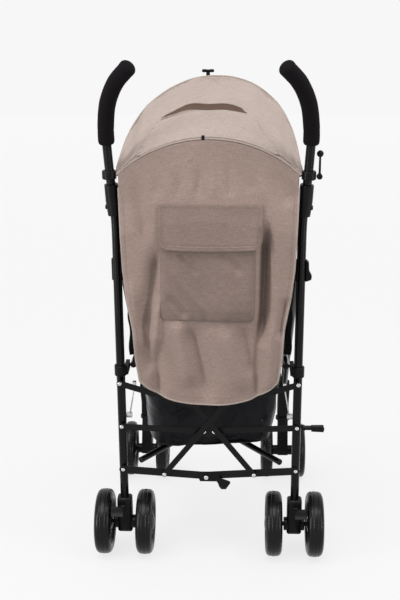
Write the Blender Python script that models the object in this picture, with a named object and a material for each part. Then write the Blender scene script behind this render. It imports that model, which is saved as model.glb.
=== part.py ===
import math

import bmesh
import bpy
import numpy as np
from mathutils import Matrix, Vector

# Umbrella-fold pushchair, metres, +X to its right, +Y forwards, +Z up

# overall sizes
wheelRadius = 0.070
rearTyreWidth = 0.034
frontTyreWidth = 0.028
twinSpacing = 0.0884          # between the centres of a rear pair
frontTwinSpacing = 0.0830
halfTrack = 0.1838            # push tube centre to the middle of the object
frontTrackInset = 0.0066      # the front legs stand this much further in
frontHalfTrack = halfTrack - frontTrackInset
wheelBase = 0.457
casterTrail = 0.025
leanAngle = math.radians(7.0)

# tubes and strips
tubeRadius = 0.009
legRadius = 0.0082
railRadius = 0.007
barRadius = 0.007
housingHalfWidth = 0.0145     # of the caster housing
stripThickness = 0.0020
layerGap = 0.0005
fitGap = 0.0003
axleRadius = 0.0045
rivetRadius = 0.003
legPinRadius = 0.0040
railPinRadius = 0.0030

# heights along the leaning tube, counted from the rear axle
lowerPivot = 0.1340
lowerDrop = 0.0126
midPivot = 0.2350
midDrop = 0.0080
topPivot = 0.3390
topDrop = 0.0475
legPivot = 0.5793
legPivotForward = 0.026
railPivot = 0.3590
railPivotForward = 0.028
railX = halfTrack - 0.0238
clampHeight = 0.771           # pivot of the hood
couplerLength = 0.062
couplerTop = clampHeight - 0.019
couplerBottom = couplerTop - couplerLength
xBarLowerX = 0.0950
xBarUpperX = 0.0330
plateRivetX = 0.0107

# handle
gripRadius = 0.0158
gripTipDistance = 0.012

# front leg, seat rail and floor bars, in the side view
swivelHeight = 0.236
railFrontHeight = 0.440
floorBarRearHeight = 0.193

# hood and fabric
hoodHalfWidth = halfTrack - 0.0073
hoodFlare = 0.10              # how much fuller its shoulders are than an ellipse
hoodReach = 0.330
hoodTilt = math.radians(55.0)
rearArchRise = 0.073
clothThickness = 0.0026
panelBottomHeight = 0.362
panelCornerLift = 0.050
panelInset = (0.0090, 0.0098, 0.0128, 0.0152, 0.0220, 0.0330, 0.0365, 0.0430)   # edge to tube, from top to hem
flapTop = 0.778
flapDrop = 0.099
pocketDepth = 0.168
backrestInset = 0.0338
basketInset = 0.0298
basketTop = 0.366
basketDepth = 0.102           # at its front; it hangs lower behind
basketDrop = 0.030
seatWidth = 0.296
seatLength = 0.215
seatThickness = 0.024


for old in list(bpy.data.objects):
    bpy.data.objects.remove(old, do_unlink=True)


def makeMaterial(name, colour, roughness, metallic=0.0):
    mat = bpy.data.materials.new(name)
    mat.use_nodes = True
    shader = mat.node_tree.nodes["Principled BSDF"]
    shader.inputs["Base Color"].default_value = (*colour, 1.0)
    shader.inputs["Roughness"].default_value = roughness
    shader.inputs["Metallic"].default_value = metallic
    mat.diffuse_color = (*colour, 1.0)
    return mat


paints = {
    "tube": ((0.012, 0.012, 0.013), 0.22, 0.0),
    "strip": ((0.014, 0.014, 0.015), 0.38, 0.0),
    "plastic": ((0.016, 0.016, 0.017), 0.48, 0.0),
    "foam": ((0.013, 0.012, 0.013), 0.85, 0.0),
    "tyre": ((0.009, 0.009, 0.010), 0.72, 0.0),
    "hub": ((0.028, 0.032, 0.040), 0.45, 0.0),
    "steel": ((0.60, 0.60, 0.61), 0.28, 1.0),
    "canopy": ((0.50, 0.40, 0.35), 0.92, 0.0),
    "panel": ((0.32, 0.24, 0.20), 0.92, 0.0),
    "pocket": ((0.31, 0.24, 0.21), 0.92, 0.0),
    "lining": ((0.016, 0.016, 0.019), 0.80, 0.0),
    "webbing": ((0.014, 0.014, 0.015), 0.70, 0.0),
}


def paint(obj, look):
    colour, roughness, metallic = paints[look]
    obj.data.materials.append(makeMaterial(obj.name + "_mat", colour, roughness, metallic))


origin = bpy.data.objects.new("origin", None)
bpy.context.collection.objects.link(origin)


def empty(name, parent, location=(0, 0, 0), turn=0.0):
    e = bpy.data.objects.new(name, None)
    bpy.context.collection.objects.link(e)
    e.parent = parent
    e.location = location
    e.rotation_euler = (turn, 0, 0)
    e.empty_display_size = 0.03
    return e


# the rear plane: x across, y forwards from the tubes, z up along them
rearPlane = empty("rear_plane", origin, (0, 0, wheelRadius), leanAngle)


def meshObject(name, verts, faces, look, parent, location=(0, 0, 0), smooth=True, side=1):
    verts = np.array(verts, float).reshape(-1, 3)
    if side < 0:
        verts = verts * np.array([-1.0, 1.0, 1.0])
        faces = [tuple(reversed(f)) for f in faces]
        location = (-location[0], location[1], location[2])
    mesh = bpy.data.meshes.new(name)
    mesh.from_pydata(verts.tolist(), [], [tuple(int(i) for i in f) for f in faces])
    mesh.update()
    obj = bpy.data.objects.new(name, mesh)
    bpy.context.collection.objects.link(obj)
    obj.parent = parent
    obj.location = location
    for p in mesh.polygons:
        p.use_smooth = smooth
    if look:
        paint(obj, look)
    return obj


def merge(parts):
    """Several closed shells as one list of points and faces."""
    verts, faces = [], []
    for v, f in parts:
        start = len(verts)
        verts.extend([tuple(p) for p in v])
        faces.extend([tuple(i + start for i in face) for face in f])
    return verts, faces


def frames(points):
    """Tangent and two side directions that don't twist along a path."""
    points = np.array(points, float)
    tangents = np.gradient(points, axis=0)
    tangents /= np.linalg.norm(tangents, axis=1)[:, None]
    first = np.array([1.0, 0, 0]) if abs(tangents[0][0]) < 0.8 else np.array([0, 1.0, 0])
    side = first - tangents[0] * (first @ tangents[0])
    side /= np.linalg.norm(side)
    out = []
    for t in tangents:
        side = side - t * (side @ t)
        side /= np.linalg.norm(side)
        out.append((t, side, np.cross(t, side)))
    return out


def rings(points, radii, sides, squash=1.0):
    out = []
    angles = np.linspace(0, 2 * math.pi, sides, endpoint=False)
    for p, r, (t, a, b) in zip(np.array(points, float), radii, frames(points)):
        out.append(p + r * (np.cos(angles)[:, None] * a + squash * np.sin(angles)[:, None] * b))
    return out


def skin(loops, closeStart=True, closeEnd=True, wrap=False):
    """Faces between rings of equal size, outward when the rings turn left about the path."""
    n = len(loops[0])
    verts = [tuple(p) for loop in loops for p in loop]
    faces = []
    count = len(loops)
    for k in range(count if wrap else count - 1):
        a, b = k * n, ((k + 1) % count) * n
        for i in range(n):
            j = (i + 1) % n
            faces.append((a + i, a + j, b + j, b + i))
    if not wrap and closeStart:
        faces.append(tuple(reversed(range(n))))
    if not wrap and closeEnd:
        faces.append(tuple(range((count - 1) * n, count * n)))
    return verts, faces


def rod(points, radius, sides=12, squash=1.0):
    points = [Vector(p) for p in points]
    radii = radius if hasattr(radius, "__len__") else [radius] * len(points)
    return skin(rings(points, radii, sides, squash))


def sleeve(points, outer, inner, sides=14, squash=1.0):
    """A hollow tube along a path, open at both ends."""
    outside = rings(points, outer, sides, squash)
    inside = rings(points, [inner] * len(points), sides)
    return skin(outside + inside[::-1], wrap=True)


def sock(points, outer, inner, depth, sides=14):
    """A tube along a path that is hollow up to the given ring and closed beyond it."""
    outside = rings(points, outer, sides)
    inside = rings(points, [inner] * len(points), sides)[:depth]
    loops = outside[::-1] + inside
    verts, faces = skin(loops)
    return verts, [tuple(reversed(f)) for f in faces]


def turned(profile, steps, axis="X"):
    """A closed profile of (radius, along) points turned about an axis."""
    angles = np.linspace(0, 2 * math.pi, steps, endpoint=False)
    loops = []
    for t in angles:
        loop = []
        for r, s in profile:
            c, d = r * math.cos(t), r * math.sin(t)
            loop.append({"X": (s, c, d), "Y": (c, s, -d), "Z": (c, d, s)}[axis])
        loops.append(loop)
    verts, faces = skin(loops, wrap=True)
    return orient(verts, faces)


def orient(verts, faces):
    v = np.array(verts, float)
    volume = 0.0
    for f in faces:
        for i in range(1, len(f) - 1):
            volume += np.dot(v[f[0]], np.cross(v[f[i]], v[f[i + 1]]))
    if volume < 0:
        faces = [tuple(reversed(f)) for f in faces]
    return verts, faces


def drum(radius, start, end, steps=16, axis="X", centre=(0, 0, 0), edge=0.0):
    """A solid round bar along an axis, with a small edge chamfer."""
    loops = []
    rows = [(start, radius - edge), (end, radius - edge)]
    if edge:
        rows = [(start, radius - edge), (start + edge, radius), (end - edge, radius), (end, radius - edge)]
    for s, r in rows:
        loop = []
        for t in np.linspace(0, 2 * math.pi, steps, endpoint=False):
            c, d = r * math.cos(t), r * math.sin(t)
            p = {"X": (s, c, d), "Y": (c, s, -d), "Z": (c, d, s)}[axis]
            loop.append(tuple(np.add(p, centre)))
        loops.append(loop)
    return orient(*skin(loops))


def prism(outline, start, end, axis="Y"):
    """A flat outline pushed along an axis: Y takes (x, z) points, X takes (y, z) points."""
    def at(p, s):
        return {"Y": (p[0], s, p[1]), "X": (s, p[0], p[1]), "Z": (p[0], p[1], s)}[axis]
    loops = [[at(p, start) for p in outline], [at(p, end) for p in outline]]
    return orient(*skin(loops))


def block(size, centre=(0, 0, 0)):
    x, y, z = (s / 2 for s in size)
    outline = [(-x, -z), (x, -z), (x, z), (-x, z)]
    verts, faces = prism(outline, -y, y)
    return [tuple(np.add(v, centre)) for v in verts], faces


def capsule(a, b, halfWidth, steps=6):
    """The outline of a strip with round ends between two points."""
    a, b = np.array(a, float), np.array(b, float)
    along = math.atan2(b[1] - a[1], b[0] - a[0])
    points = []
    for centre, start in ((b, along - math.pi / 2), (a, along + math.pi / 2)):
        for k in range(steps + 1):
            t = start + math.pi * k / steps
            points.append((centre[0] + halfWidth * math.cos(t), centre[1] + halfWidth * math.sin(t)))
    return points


def clothSolid(surface, thickness):
    """A grid of points given a thickness along its normals, as one closed shell."""
    s = np.array(surface, float)
    du = np.gradient(s, axis=0)
    dv = np.gradient(s, axis=1)
    n = np.cross(du, dv)
    n /= np.maximum(np.linalg.norm(n, axis=2), 1e-9)[..., None]
    front = s + n * thickness / 2
    back = s - n * thickness / 2
    rows, cols = s.shape[:2]
    verts = np.concatenate([front.reshape(-1, 3), back.reshape(-1, 3)])
    half = rows * cols
    faces = []
    for i in range(rows - 1):
        for j in range(cols - 1):
            a, b, c, d = i * cols + j, (i + 1) * cols + j, (i + 1) * cols + j + 1, i * cols + j + 1
            faces.append((a, b, c, d))
            faces.append((half + d, half + c, half + b, half + a))
    ring = [(i, 0) for i in range(rows)] + [(rows - 1, j) for j in range(1, cols)]
    ring += [(i, cols - 1) for i in range(rows - 2, -1, -1)] + [(0, j) for j in range(cols - 2, 0, -1)]
    ids = [i * cols + j for i, j in ring]
    for k, a in enumerate(ids):
        b = ids[(k + 1) % len(ids)]
        faces.append((b, a, half + a, half + b))
    return orient(verts.tolist(), faces)


def roundEdges(obj, width, segments=1):
    mod = obj.modifiers.new("round_edges", "BEVEL")
    mod.width = width
    mod.segments = segments
    mod.limit_method = "ANGLE"
    mod.angle_limit = math.radians(40)


def carve(obj, shapes, operation="DIFFERENCE"):
    """Cuts shapes away from an object, or joins them to it."""
    for k, (verts, faces) in enumerate(shapes):
        tool = meshObject(f"{obj.name}_cut{k}{operation[0]}", verts, faces, None, obj.parent, tuple(obj.location))
        tool.rotation_euler = obj.rotation_euler
        tool.hide_render = True
        tool.display_type = "WIRE"
        mod = obj.modifiers.new(f"carve_{k}", "BOOLEAN")
        mod.operation = operation
        mod.solver = "EXACT"
        mod.object = tool


def mirrorShape(shape, side):
    verts, faces = shape
    if side > 0:
        return verts, faces
    return [(-x, y, z) for x, y, z in verts], [tuple(reversed(f)) for f in faces]


def toWorld(forward, up):
    """From the rear plane's side view to the object's."""
    return (
        forward * math.cos(leanAngle) - up * math.sin(leanAngle),
        wheelRadius + forward * math.sin(leanAngle) + up * math.cos(leanAngle),
    )


def curve(points, count):
    """A smooth path through points, by Catmull and Rom's rule."""
    p = [np.array(q, float) for q in points]
    p = [2 * p[0] - p[1]] + p + [2 * p[-1] - p[-2]]
    out = []
    for k in range(1, len(p) - 2):
        for t in np.linspace(0, 1, count, endpoint=False):
            a, b, c, d = p[k - 1], p[k], p[k + 1], p[k + 2]
            out.append(0.5 * (2 * b + (c - a) * t + (2 * a - 5 * b + 4 * c - d) * t**2
                              + (3 * b - a - 3 * c + d) * t**3))
    out.append(p[-2])
    return out


def layer(k):
    """Front and rear face of the k-th strip behind the tubes."""
    front = -(tubeRadius + 0.0008 + (k - 1) * (stripThickness + layerGap))
    return front, front - stripThickness


# push tube and handle in one bent piece
handleShape = [
    (halfTrack, 0.0, couplerBottom - 0.035),
    (halfTrack + 0.0012, 0.0, couplerBottom),
    (halfTrack + 0.0068, -0.002, couplerTop),
    (halfTrack + 0.0115, -0.012, clampHeight + 0.0630),
    (halfTrack + 0.0092, -0.028, clampHeight + 0.1070),
    (halfTrack + 0.0014, -0.048, clampHeight + 0.1470),
    (halfTrack - 0.0160, -0.070, clampHeight + 0.1840),
    (halfTrack - 0.0395, -0.088, clampHeight + 0.2110),
]
handlePath = curve(handleShape, 2)
tubeFoot = axleRadius + 0.0040
tyreSides = 26


def pushTube(side, tag):
    path = [(halfTrack, 0, tubeFoot), (halfTrack, 0, 0.30)] + handlePath[:-1]
    verts, faces = rod(path, tubeRadius, 12)
    obj = meshObject("push_tube_" + tag, verts, faces, "tube", rearPlane, side=side)
    start = -(tubeRadius - 0.0030)
    own = 1 if side > 0 else 2
    studs = merge([rivet(*lowerOuter, start, own), rivet(*midOuter, start, own),
                   rivet(*topOuter, start, 6 if side > 0 else 7)])
    carve(obj, [mirrorShape(studs, side)], "UNION")
    return obj


def grip(side, tag):
    # from just above the coupler's neck to the tip
    path = handlePath[6:]
    end = path[-1] + (path[-1] - path[-2]) / np.linalg.norm(path[-1] - path[-2]) * gripTipDistance
    inner = tubeRadius + fitGap
    count = len(path)
    radii = [gripRadius * (0.90 if k == 0 else 1.0) for k in range(count)]
    radii[-1] = gripRadius * 0.97
    path = path + [path[-1] + (end - path[-1]) * 0.62, end]
    radii = radii + [gripRadius * 0.80, gripRadius * 0.40]
    verts, faces = orient(*sock(path, radii, inner, count, 12))
    return meshObject("grip_" + tag, verts, faces, "foam", rearPlane, side=side)


def coupler(side, tag):
    path = [p for p in handlePath if couplerBottom - 0.001 <= p[2] <= couplerTop + 0.001]
    outer = [0.0138] + [0.0150] * (len(path) - 2) + [0.0136]
    verts, faces = sleeve(path, outer, tubeRadius + fitGap, 12)
    obj = meshObject("coupler_" + tag, verts, faces, "plastic", rearPlane, side=side)
    knob = drum(0.0050, halfTrack + 0.0130, halfTrack + 0.0195, 12, "X", (0, 0.0, couplerBottom + 0.016), 0.001)
    carve(obj, [mirrorShape(knob, side)], "UNION")
    return obj


def canopyClamp(side, tag):
    # a ring round the tube above the coupler with an arm that points inwards and holds the hoop
    x = halfTrack + 0.0095
    verts, faces = drum(0.0142, clampHeight - 0.0085, clampHeight + 0.0085, 16, "Z", (x, -0.0035, 0), 0.0015)
    obj = meshObject("canopy_clamp_" + tag, verts, faces, "plastic", rearPlane, side=side)
    arm = prism([(x - 0.0105, clampHeight - 0.0065), (x - 0.0105, clampHeight + 0.0065),
                 (hoodHalfWidth + 0.0035, clampHeight + 0.0045), (hoodHalfWidth + 0.0035, clampHeight - 0.0055)],
                -0.0110, 0.0060)
    hole = rod([p for p in handlePath if couplerBottom + 0.010 < p[2] < clampHeight + 0.069], tubeRadius + fitGap, 14)
    carve(obj, [mirrorShape(arm, side)], "UNION")
    carve(obj, [mirrorShape(hole, side)])
    return obj


def hingeBracket(side, tag):
    # a saddle on the front of the push tube with two ears that hold the front leg's pin
    half = 0.0132
    shift = frontHalfTrack - halfTrack
    outline = [(0.0010, -0.026), (0.012, -0.030), (0.034, -0.012), (0.036, 0.006), (0.026, 0.014), (0.0010, 0.022)]
    verts, faces = prism(outline, shift - half, 0.0120, "X")
    obj = meshObject("hinge_bracket_" + tag, verts, faces, "plastic", rearPlane,
                     (halfTrack, 0, legPivot), smooth=False, side=side)
    roundEdges(obj, 0.0022, 1)
    bore = drum(tubeRadius + fitGap, -0.05, 0.05, 14, "Z")
    slot = prism([(0.0112, -0.045), (0.060, -0.045), (0.060, 0.040), (0.0112, 0.040)],
                 shift - 0.0098, shift + 0.0098, "X")
    pin = drum(legPinRadius, shift - 0.0120, shift + 0.0120, 12, "X", (0, legPivotForward, 0))
    shapes = [bore, slot]
    if side > 0:
        # the side catch stands out on this side only
        hook = prism([(0.0105, -0.024), (0.0205, -0.020), (0.0215, -0.012), (0.0160, -0.002), (0.0150, 0.016),
                      (0.0105, 0.019)], -0.0050, 0.0090)
        carve(obj, [mirrorShape(hook, side)], "UNION")
    carve(obj, [mirrorShape(s, side) for s in shapes])
    carve(obj, [mirrorShape(pin, side)], "UNION")
    return obj


def seatBracket(side, tag):
    # a collar with an arm that reaches inwards and holds the seat rail's pin
    verts, faces = drum(0.0128, -0.0115, 0.0115, 16, "Z", edge=0.0012)
    obj = meshObject("seat_bracket_" + tag, verts, faces, "plastic", rearPlane,
                     (halfTrack, 0, railPivot), side=side)
    reach = railX + railRadius + 0.0008 - halfTrack
    arm = prism([(-0.004, -0.009), (0.0355, -0.009), (0.0375, 0.0), (0.0355, 0.009), (-0.004, 0.009)],
                reach, -0.0080, "X")
    bore = drum(tubeRadius + fitGap, -0.05, 0.05, 14, "Z")
    pin = drum(railPinRadius, railX - railRadius - 0.0015 - halfTrack, reach + 0.0030, 12, "X",
               (0, railPivotForward, 0))
    carve(obj, [mirrorShape(arm, side)], "UNION")
    carve(obj, [mirrorShape(bore, side)])
    carve(obj, [mirrorShape(pin, side)], "UNION")
    return obj


def rearHousing(side, tag):
    # socket for the tube's foot, brake housing and the axle's boss
    half = twinSpacing / 2 - rearTyreWidth / 2 - 0.0052
    outline = [(-0.0150, -0.016), (-0.006, -0.0225), (0.010, -0.0225), (0.0165, -0.012), (0.0165, 0.030),
               (0.0135, 0.062), (-0.0120, 0.062), (-0.0150, 0.040)]
    verts, faces = prism(outline, -0.0155, 0.0155, "X")
    obj = meshObject("rear_housing_" + tag, verts, faces, "plastic", rearPlane,
                     (halfTrack, 0, 0), smooth=False, side=side)
    roundEdges(obj, 0.0030, 1)
    boss = drum(0.0145, -half, half, 16, "X")
    socket = drum(tubeRadius + fitGap, tubeFoot - fitGap, 0.1, 14, "Z")
    hole = drum(axleRadius + fitGap, -0.1, 0.1, 14, "X")
    carve(obj, [mirrorShape(boss, side)], "UNION")
    carve(obj, [mirrorShape(socket, side), mirrorShape(hole, side)])
    return obj


def tyreProfile(width):
    half = width / 2
    inner = wheelRadius * 0.70
    return [(inner, -half * 0.90), (wheelRadius - 0.0115, -half), (wheelRadius - 0.0036, -half * 0.80),
            (wheelRadius, -half * 0.38), (wheelRadius, half * 0.38), (wheelRadius - 0.0036, half * 0.80),
            (wheelRadius - 0.0115, half), (inner, half * 0.90)]


def hubProfile(width, spacing):
    """Two spoked-out hubs and the axle between them, from the outer end of one to the other's, in x order."""
    half = width / 2
    rim = wheelRadius * 0.70 * math.cos(math.pi / tyreSides) - fitGap
    face = half * 0.62
    rows = [(0.0070, half * 1.16), (0.0165, half * 0.98), (0.0185, face), (rim - 0.006, face), (rim, half * 0.84),
            (rim, -half * 0.84), (rim - 0.006, -face), (0.0150, -half * 0.80), (axleRadius, -half * 0.80)]
    right = [(r, spacing / 2 + x) for r, x in rows]
    left = [(r, -x) for r, x in right]
    return left + right[::-1]


def wheelPair(front, side, tag):
    spacing = frontTwinSpacing if front else twinSpacing
    width = frontTyreWidth if front else rearTyreWidth
    track = frontHalfTrack if front else halfTrack
    place = (track, wheelBase if front else 0, wheelRadius)
    kind = "front" if front else "rear"
    for word, k in (("in", -1), ("out", 1)):
        shift = k * spacing / 2
        verts, faces = turned([(r, s + shift) for r, s in tyreProfile(width)], tyreSides)
        meshObject(f"{kind}_tyre_{word}_{tag}", verts, faces, "tyre", origin, place, side=side)
    loops = []
    for r, x in hubProfile(width, spacing):
        loops.append([(x, r * math.cos(t), r * math.sin(t)) for t in np.linspace(0, 2 * math.pi, 16, endpoint=False)])
    verts, faces = orient(*skin(loops))
    meshObject(f"{kind}_hubs_{tag}", verts, faces, "hub", origin, place, side=side)


def brakePedal(side, tag):
    # foot tab that turns about a pin in the housing's rear face
    tab = prism([(-0.004, 0.0035), (-0.012, 0.0045), (-0.030, 0.0005), (-0.034, -0.0040), (-0.028, -0.0055),
                 (-0.012, -0.0020), (-0.004, -0.0035)], 0.0, 0.0250, "X")
    eye = drum(0.0052, -0.0013, 0.0070, 14, "X")
    obj = meshObject("brake_pedal_" + tag, *tab, "plastic", rearPlane,
                     (halfTrack - 0.0010, -0.0197, 0.0460), smooth=False, side=side)
    carve(obj, [mirrorShape(eye, side)], "UNION")
    return obj


pinY, pinZ = toWorld(legPivotForward, legPivot)
swivelY = wheelBase + casterTrail
legVector = np.array([0.0, swivelY - pinY, swivelHeight - 0.020 - pinZ])
legLength = float(np.linalg.norm(legVector))
legDirection = legVector / legLength
legTilt = math.atan2(legVector[1], -legVector[2])


def frontLeg(side, tag):
    pivot = (frontHalfTrack, pinY, pinZ)
    start = legDirection * 0.006
    end = legDirection * (legLength - 0.010)
    verts, faces = rod([start, legDirection * 0.30, end], legRadius, 12)
    obj = meshObject("front_leg_" + tag, verts, faces, "tube", origin, pivot, side=side)
    eye = drum(0.0094, -0.0094, 0.0094, 16, "X", edge=0.001)
    hole = drum(legPinRadius + fitGap, -0.05, 0.05, 12, "X")
    carve(obj, [mirrorShape(eye, side)], "UNION")
    carve(obj, [mirrorShape(hole, side)])
    return obj


def casterHousing(side, tag):
    # block on the leg's foot with the upright swivel boss under it
    pivot = (frontHalfTrack, swivelY, swivelHeight - 0.020)
    up = -legDirection
    across = np.array([0.0, up[2], -up[1]])
    outline = []
    for a, b in ((-0.0140, 0.062), (0.0140, 0.062), (0.0155, 0.012), (0.0155, -0.004)):
        p = across * a + up * b
        outline.append((p[1], p[2]))
    outline += [(0.0190, -0.030), (0.0190, -0.060), (-0.0190, -0.060), (-0.0190, -0.024)]
    verts, faces = prism(outline, -housingHalfWidth, housingHalfWidth, "X")
    obj = meshObject("caster_housing_" + tag, verts, faces, "plastic", origin, pivot, smooth=False, side=side)
    roundEdges(obj, 0.0030, 1)
    bore = rod([up * 0.0098, up * 0.10], legRadius + fitGap, 12)
    carve(obj, [bore])
    return obj


casterBottom = swivelHeight - 0.080


def swivelFork(side, tag):
    # turntable, slanting arm and the boss of the front axle
    pivot = (frontHalfTrack, swivelY, casterBottom - fitGap)
    plate = drum(0.0185, -0.010, 0.0, 16, "Z", edge=0.0012)
    obj = meshObject("swivel_fork_" + tag, *plate, "plastic", origin, pivot, side=side)
    low = wheelRadius - pivot[2]
    arm = prism([(-0.0165, -0.0085), (0.0165, -0.0085), (0.0120, low + 0.006), (-0.012, low - 0.011),
                 (-0.036, low - 0.011), (-0.038, low + 0.010)], -0.0130, 0.0130, "X")
    half = frontTwinSpacing / 2 - frontTyreWidth / 2 - 0.0016
    boss = drum(0.0125, -half, half, 14, "X", (0, -casterTrail, low))
    hole = drum(axleRadius + fitGap, -0.1, 0.1, 14, "X", (0, -casterTrail, low))
    carve(obj, [arm, boss], "UNION")
    carve(obj, [hole])
    return obj


def ball(radius, steps):
    """A round knuckle about the origin."""
    loops = []
    for t in np.linspace(0, math.pi, steps // 2 + 1):
        r = max(radius * math.sin(t), radius * 0.08)
        loops.append([(r * math.cos(a), r * math.sin(a), -radius * math.cos(t))
                      for a in np.linspace(0, 2 * math.pi, steps, endpoint=False)])
    return orient(*skin(loops))


def strip(name, a, b, halfWidth, k, parent, pivot, holes, side=1):
    """A flat steel strip in layer k, in the rear plane, with its origin at its pivot."""
    front, back = layer(k)
    outline = [(x - pivot[0], z - pivot[1]) for x, z in capsule(a, b, halfWidth)]
    verts, faces = prism(outline, back, front)
    obj = meshObject(name, verts, faces, "strip", parent, (pivot[0], 0, pivot[1]), smooth=False, side=side)
    cuts = []
    for x, z in holes:
        cuts.append(drum(rivetRadius + fitGap, -0.1, 0.1, 12, "Y", (x - pivot[0], 0, z - pivot[1])))
    if cuts:
        carve(obj, [mirrorShape(merge(cuts), side)])
    return obj


def rivet(x, z, start, headLayer):
    """A domed rivet that starts at one depth and ends in a head behind a strip layer."""
    back = layer(headLayer)[1] - 0.0002
    profile = [(rivetRadius, start), (rivetRadius, back), (0.0054, back), (0.0050, back - 0.0012),
               (0.0030, back - 0.0021)]
    loops = []
    for r, s in profile:
        loops.append([(x + r * math.cos(t), s, z - r * math.sin(t))
                      for t in np.linspace(0, 2 * math.pi, 8, endpoint=False)])
    return orient(*skin(loops))


lowerOuter = (halfTrack, lowerPivot)
lowerInner = (0.0, lowerPivot - lowerDrop)
lowerSlope = (lowerOuter[1] - lowerInner[1]) / halfTrack
xLower = (xBarLowerX, lowerInner[1] + lowerSlope * xBarLowerX)
midOuter = (halfTrack, midPivot)
midInner = (plateRivetX, midPivot - midDrop)
topOuter = (halfTrack, topPivot)
topInner = (xBarUpperX, topPivot - topDrop)
xUpper = (-xBarUpperX, topInner[1])


def linkage(side, tag):
    near, far = (1, 2) if side > 0 else (2, 1)
    lower = near
    link = strip("lower_link_" + tag, lowerOuter, (0.0065, lowerInner[1] + lowerSlope * 0.0065), 0.0084, lower,
                 rearPlane, lowerOuter, [lowerOuter], side)
    verts, faces = rivet(*xLower, layer(lower)[0] - 0.0010, 4 if side > 0 else 5)
    stud = [(x - lowerOuter[0], y, z - lowerOuter[1]) for x, y, z in verts], faces
    carve(link, [mirrorShape(stud, side)], "UNION")
    strip("mid_link_" + tag, midOuter, midInner, 0.0066, lower, rearPlane, midOuter, [midOuter, midInner], side)
    strip("x_bar_" + tag, xLower, xUpper, 0.0060, 4 if side > 0 else 5, rearPlane, xLower,
          [xLower, xUpper], side)
    strip("top_link_" + tag, topOuter, topInner, 0.0064, 6 if side > 0 else 7, rearPlane, topOuter,
          [topOuter], side)


def centreParts():
    # gusset plate between the mid links
    front, back = layer(3)
    z = midInner[1]
    outline = [(-plateRivetX - 0.009, z - 0.005), (-plateRivetX - 0.006, z - 0.010), (0.0, z - 0.012),
               (plateRivetX + 0.006, z - 0.010), (plateRivetX + 0.009, z - 0.005), (plateRivetX + 0.008, z + 0.007),
               (0.004, z + 0.016), (-0.004, z + 0.016), (-plateRivetX - 0.008, z + 0.007)]
    pivot = (-plateRivetX, z)
    verts, faces = prism([(x - pivot[0], h - pivot[1]) for x, h in outline], back, front)
    plate = meshObject("centre_plate", verts, faces, "strip", rearPlane, (pivot[0], 0, pivot[1]), smooth=False)
    carve(plate, [merge([drum(rivetRadius + fitGap, back - 0.01, front + 0.01, 12, "Y", (x, 0, 0)) for x in
                         (0.0, 2 * plateRivetX)])])

    # housing over the joint of the lower links, fixed to the left one, with the bolt's head
    front, back = layer(3)[0] - 0.0002, layer(3)[1]
    z0 = lowerInner[1]
    shell = prism([(-0.0215, z0 + 0.0110), (-0.0225, z0 - 0.0040), (-0.019, z0 - 0.0115), (0.019, z0 - 0.0115),
                   (0.0225, z0 - 0.0060), (0.0215, z0 + 0.0115)], back, front)
    verts, faces = shell
    px, pz = -lowerOuter[0], lowerOuter[1]
    body = meshObject("brace_housing", [(x - px, y, h - pz) for x, y, h in verts], faces, "plastic", rearPlane,
                      (px, 0, pz), smooth=False)
    bolt = drum(0.0052, back - 0.0035, front - 0.0006, 14, "Y", (-0.0062 - px, 0, z0 - 0.001 - pz), 0.0006)
    carve(body, [bolt], "UNION")

    # its foot lever hangs below the right end
    lever = prism([(0.0120, z0 - 0.0060), (0.0200, z0 - 0.0020), (0.0440, z0 - 0.0110), (0.0455, z0 - 0.0150),
                   (0.0360, z0 - 0.0300), (0.0260, z0 - 0.0300), (0.0215, z0 - 0.0240), (0.0185, z0 - 0.0150)],
                  back + 0.0001, front - 0.0001)
    verts, faces = lever
    carve(body, [([(x - px, y, h - pz) for x, y, h in verts], faces)], "UNION")


railY, railZ = toWorld(railPivotForward, railPivot)
legAtRail = (railFrontHeight - pinZ) / legDirection[2]
railFrontY = pinY + legDirection[1] * legAtRail
railVector = np.array([0.0, railFrontY - railY, railFrontHeight - railZ])


def seatRail(side, tag):
    pivot = (railX, railY, railZ)
    verts, faces = rod([(0, 0, 0), railVector * 0.5, railVector], railRadius, 12)
    obj = meshObject("seat_rail_" + tag, verts, faces, "tube", origin, pivot, side=side)
    hole = drum(railPinRadius + fitGap, -0.05, 0.05, 12, "X")
    carve(obj, [hole])
    return obj


barHeights = {"r": 0.248, "l": 0.212}


def floorBar(side, tag):
    # runs from the front leg on its own side to the rear tube on the other
    front = np.array([frontHalfTrack - housingHalfWidth - barRadius - 0.0010, 0.0, barHeights[tag]])
    front[1] = pinY + legDirection[1] * ((front[2] - pinZ) / legDirection[2]) - 0.004
    rear = np.array([-(halfTrack - 0.0200), 0.030, floorBarRearHeight])
    reach = (rear - front) * 0.966
    verts, faces = rod([(0, 0, 0), reach * 0.5, reach], barRadius, 10)
    bar = meshObject("floor_bar_" + tag, verts, faces, "tube", origin, tuple(front), side=side)
    carve(bar, [ball(barRadius + 0.0007, 12)], "UNION")
    return bar


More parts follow.
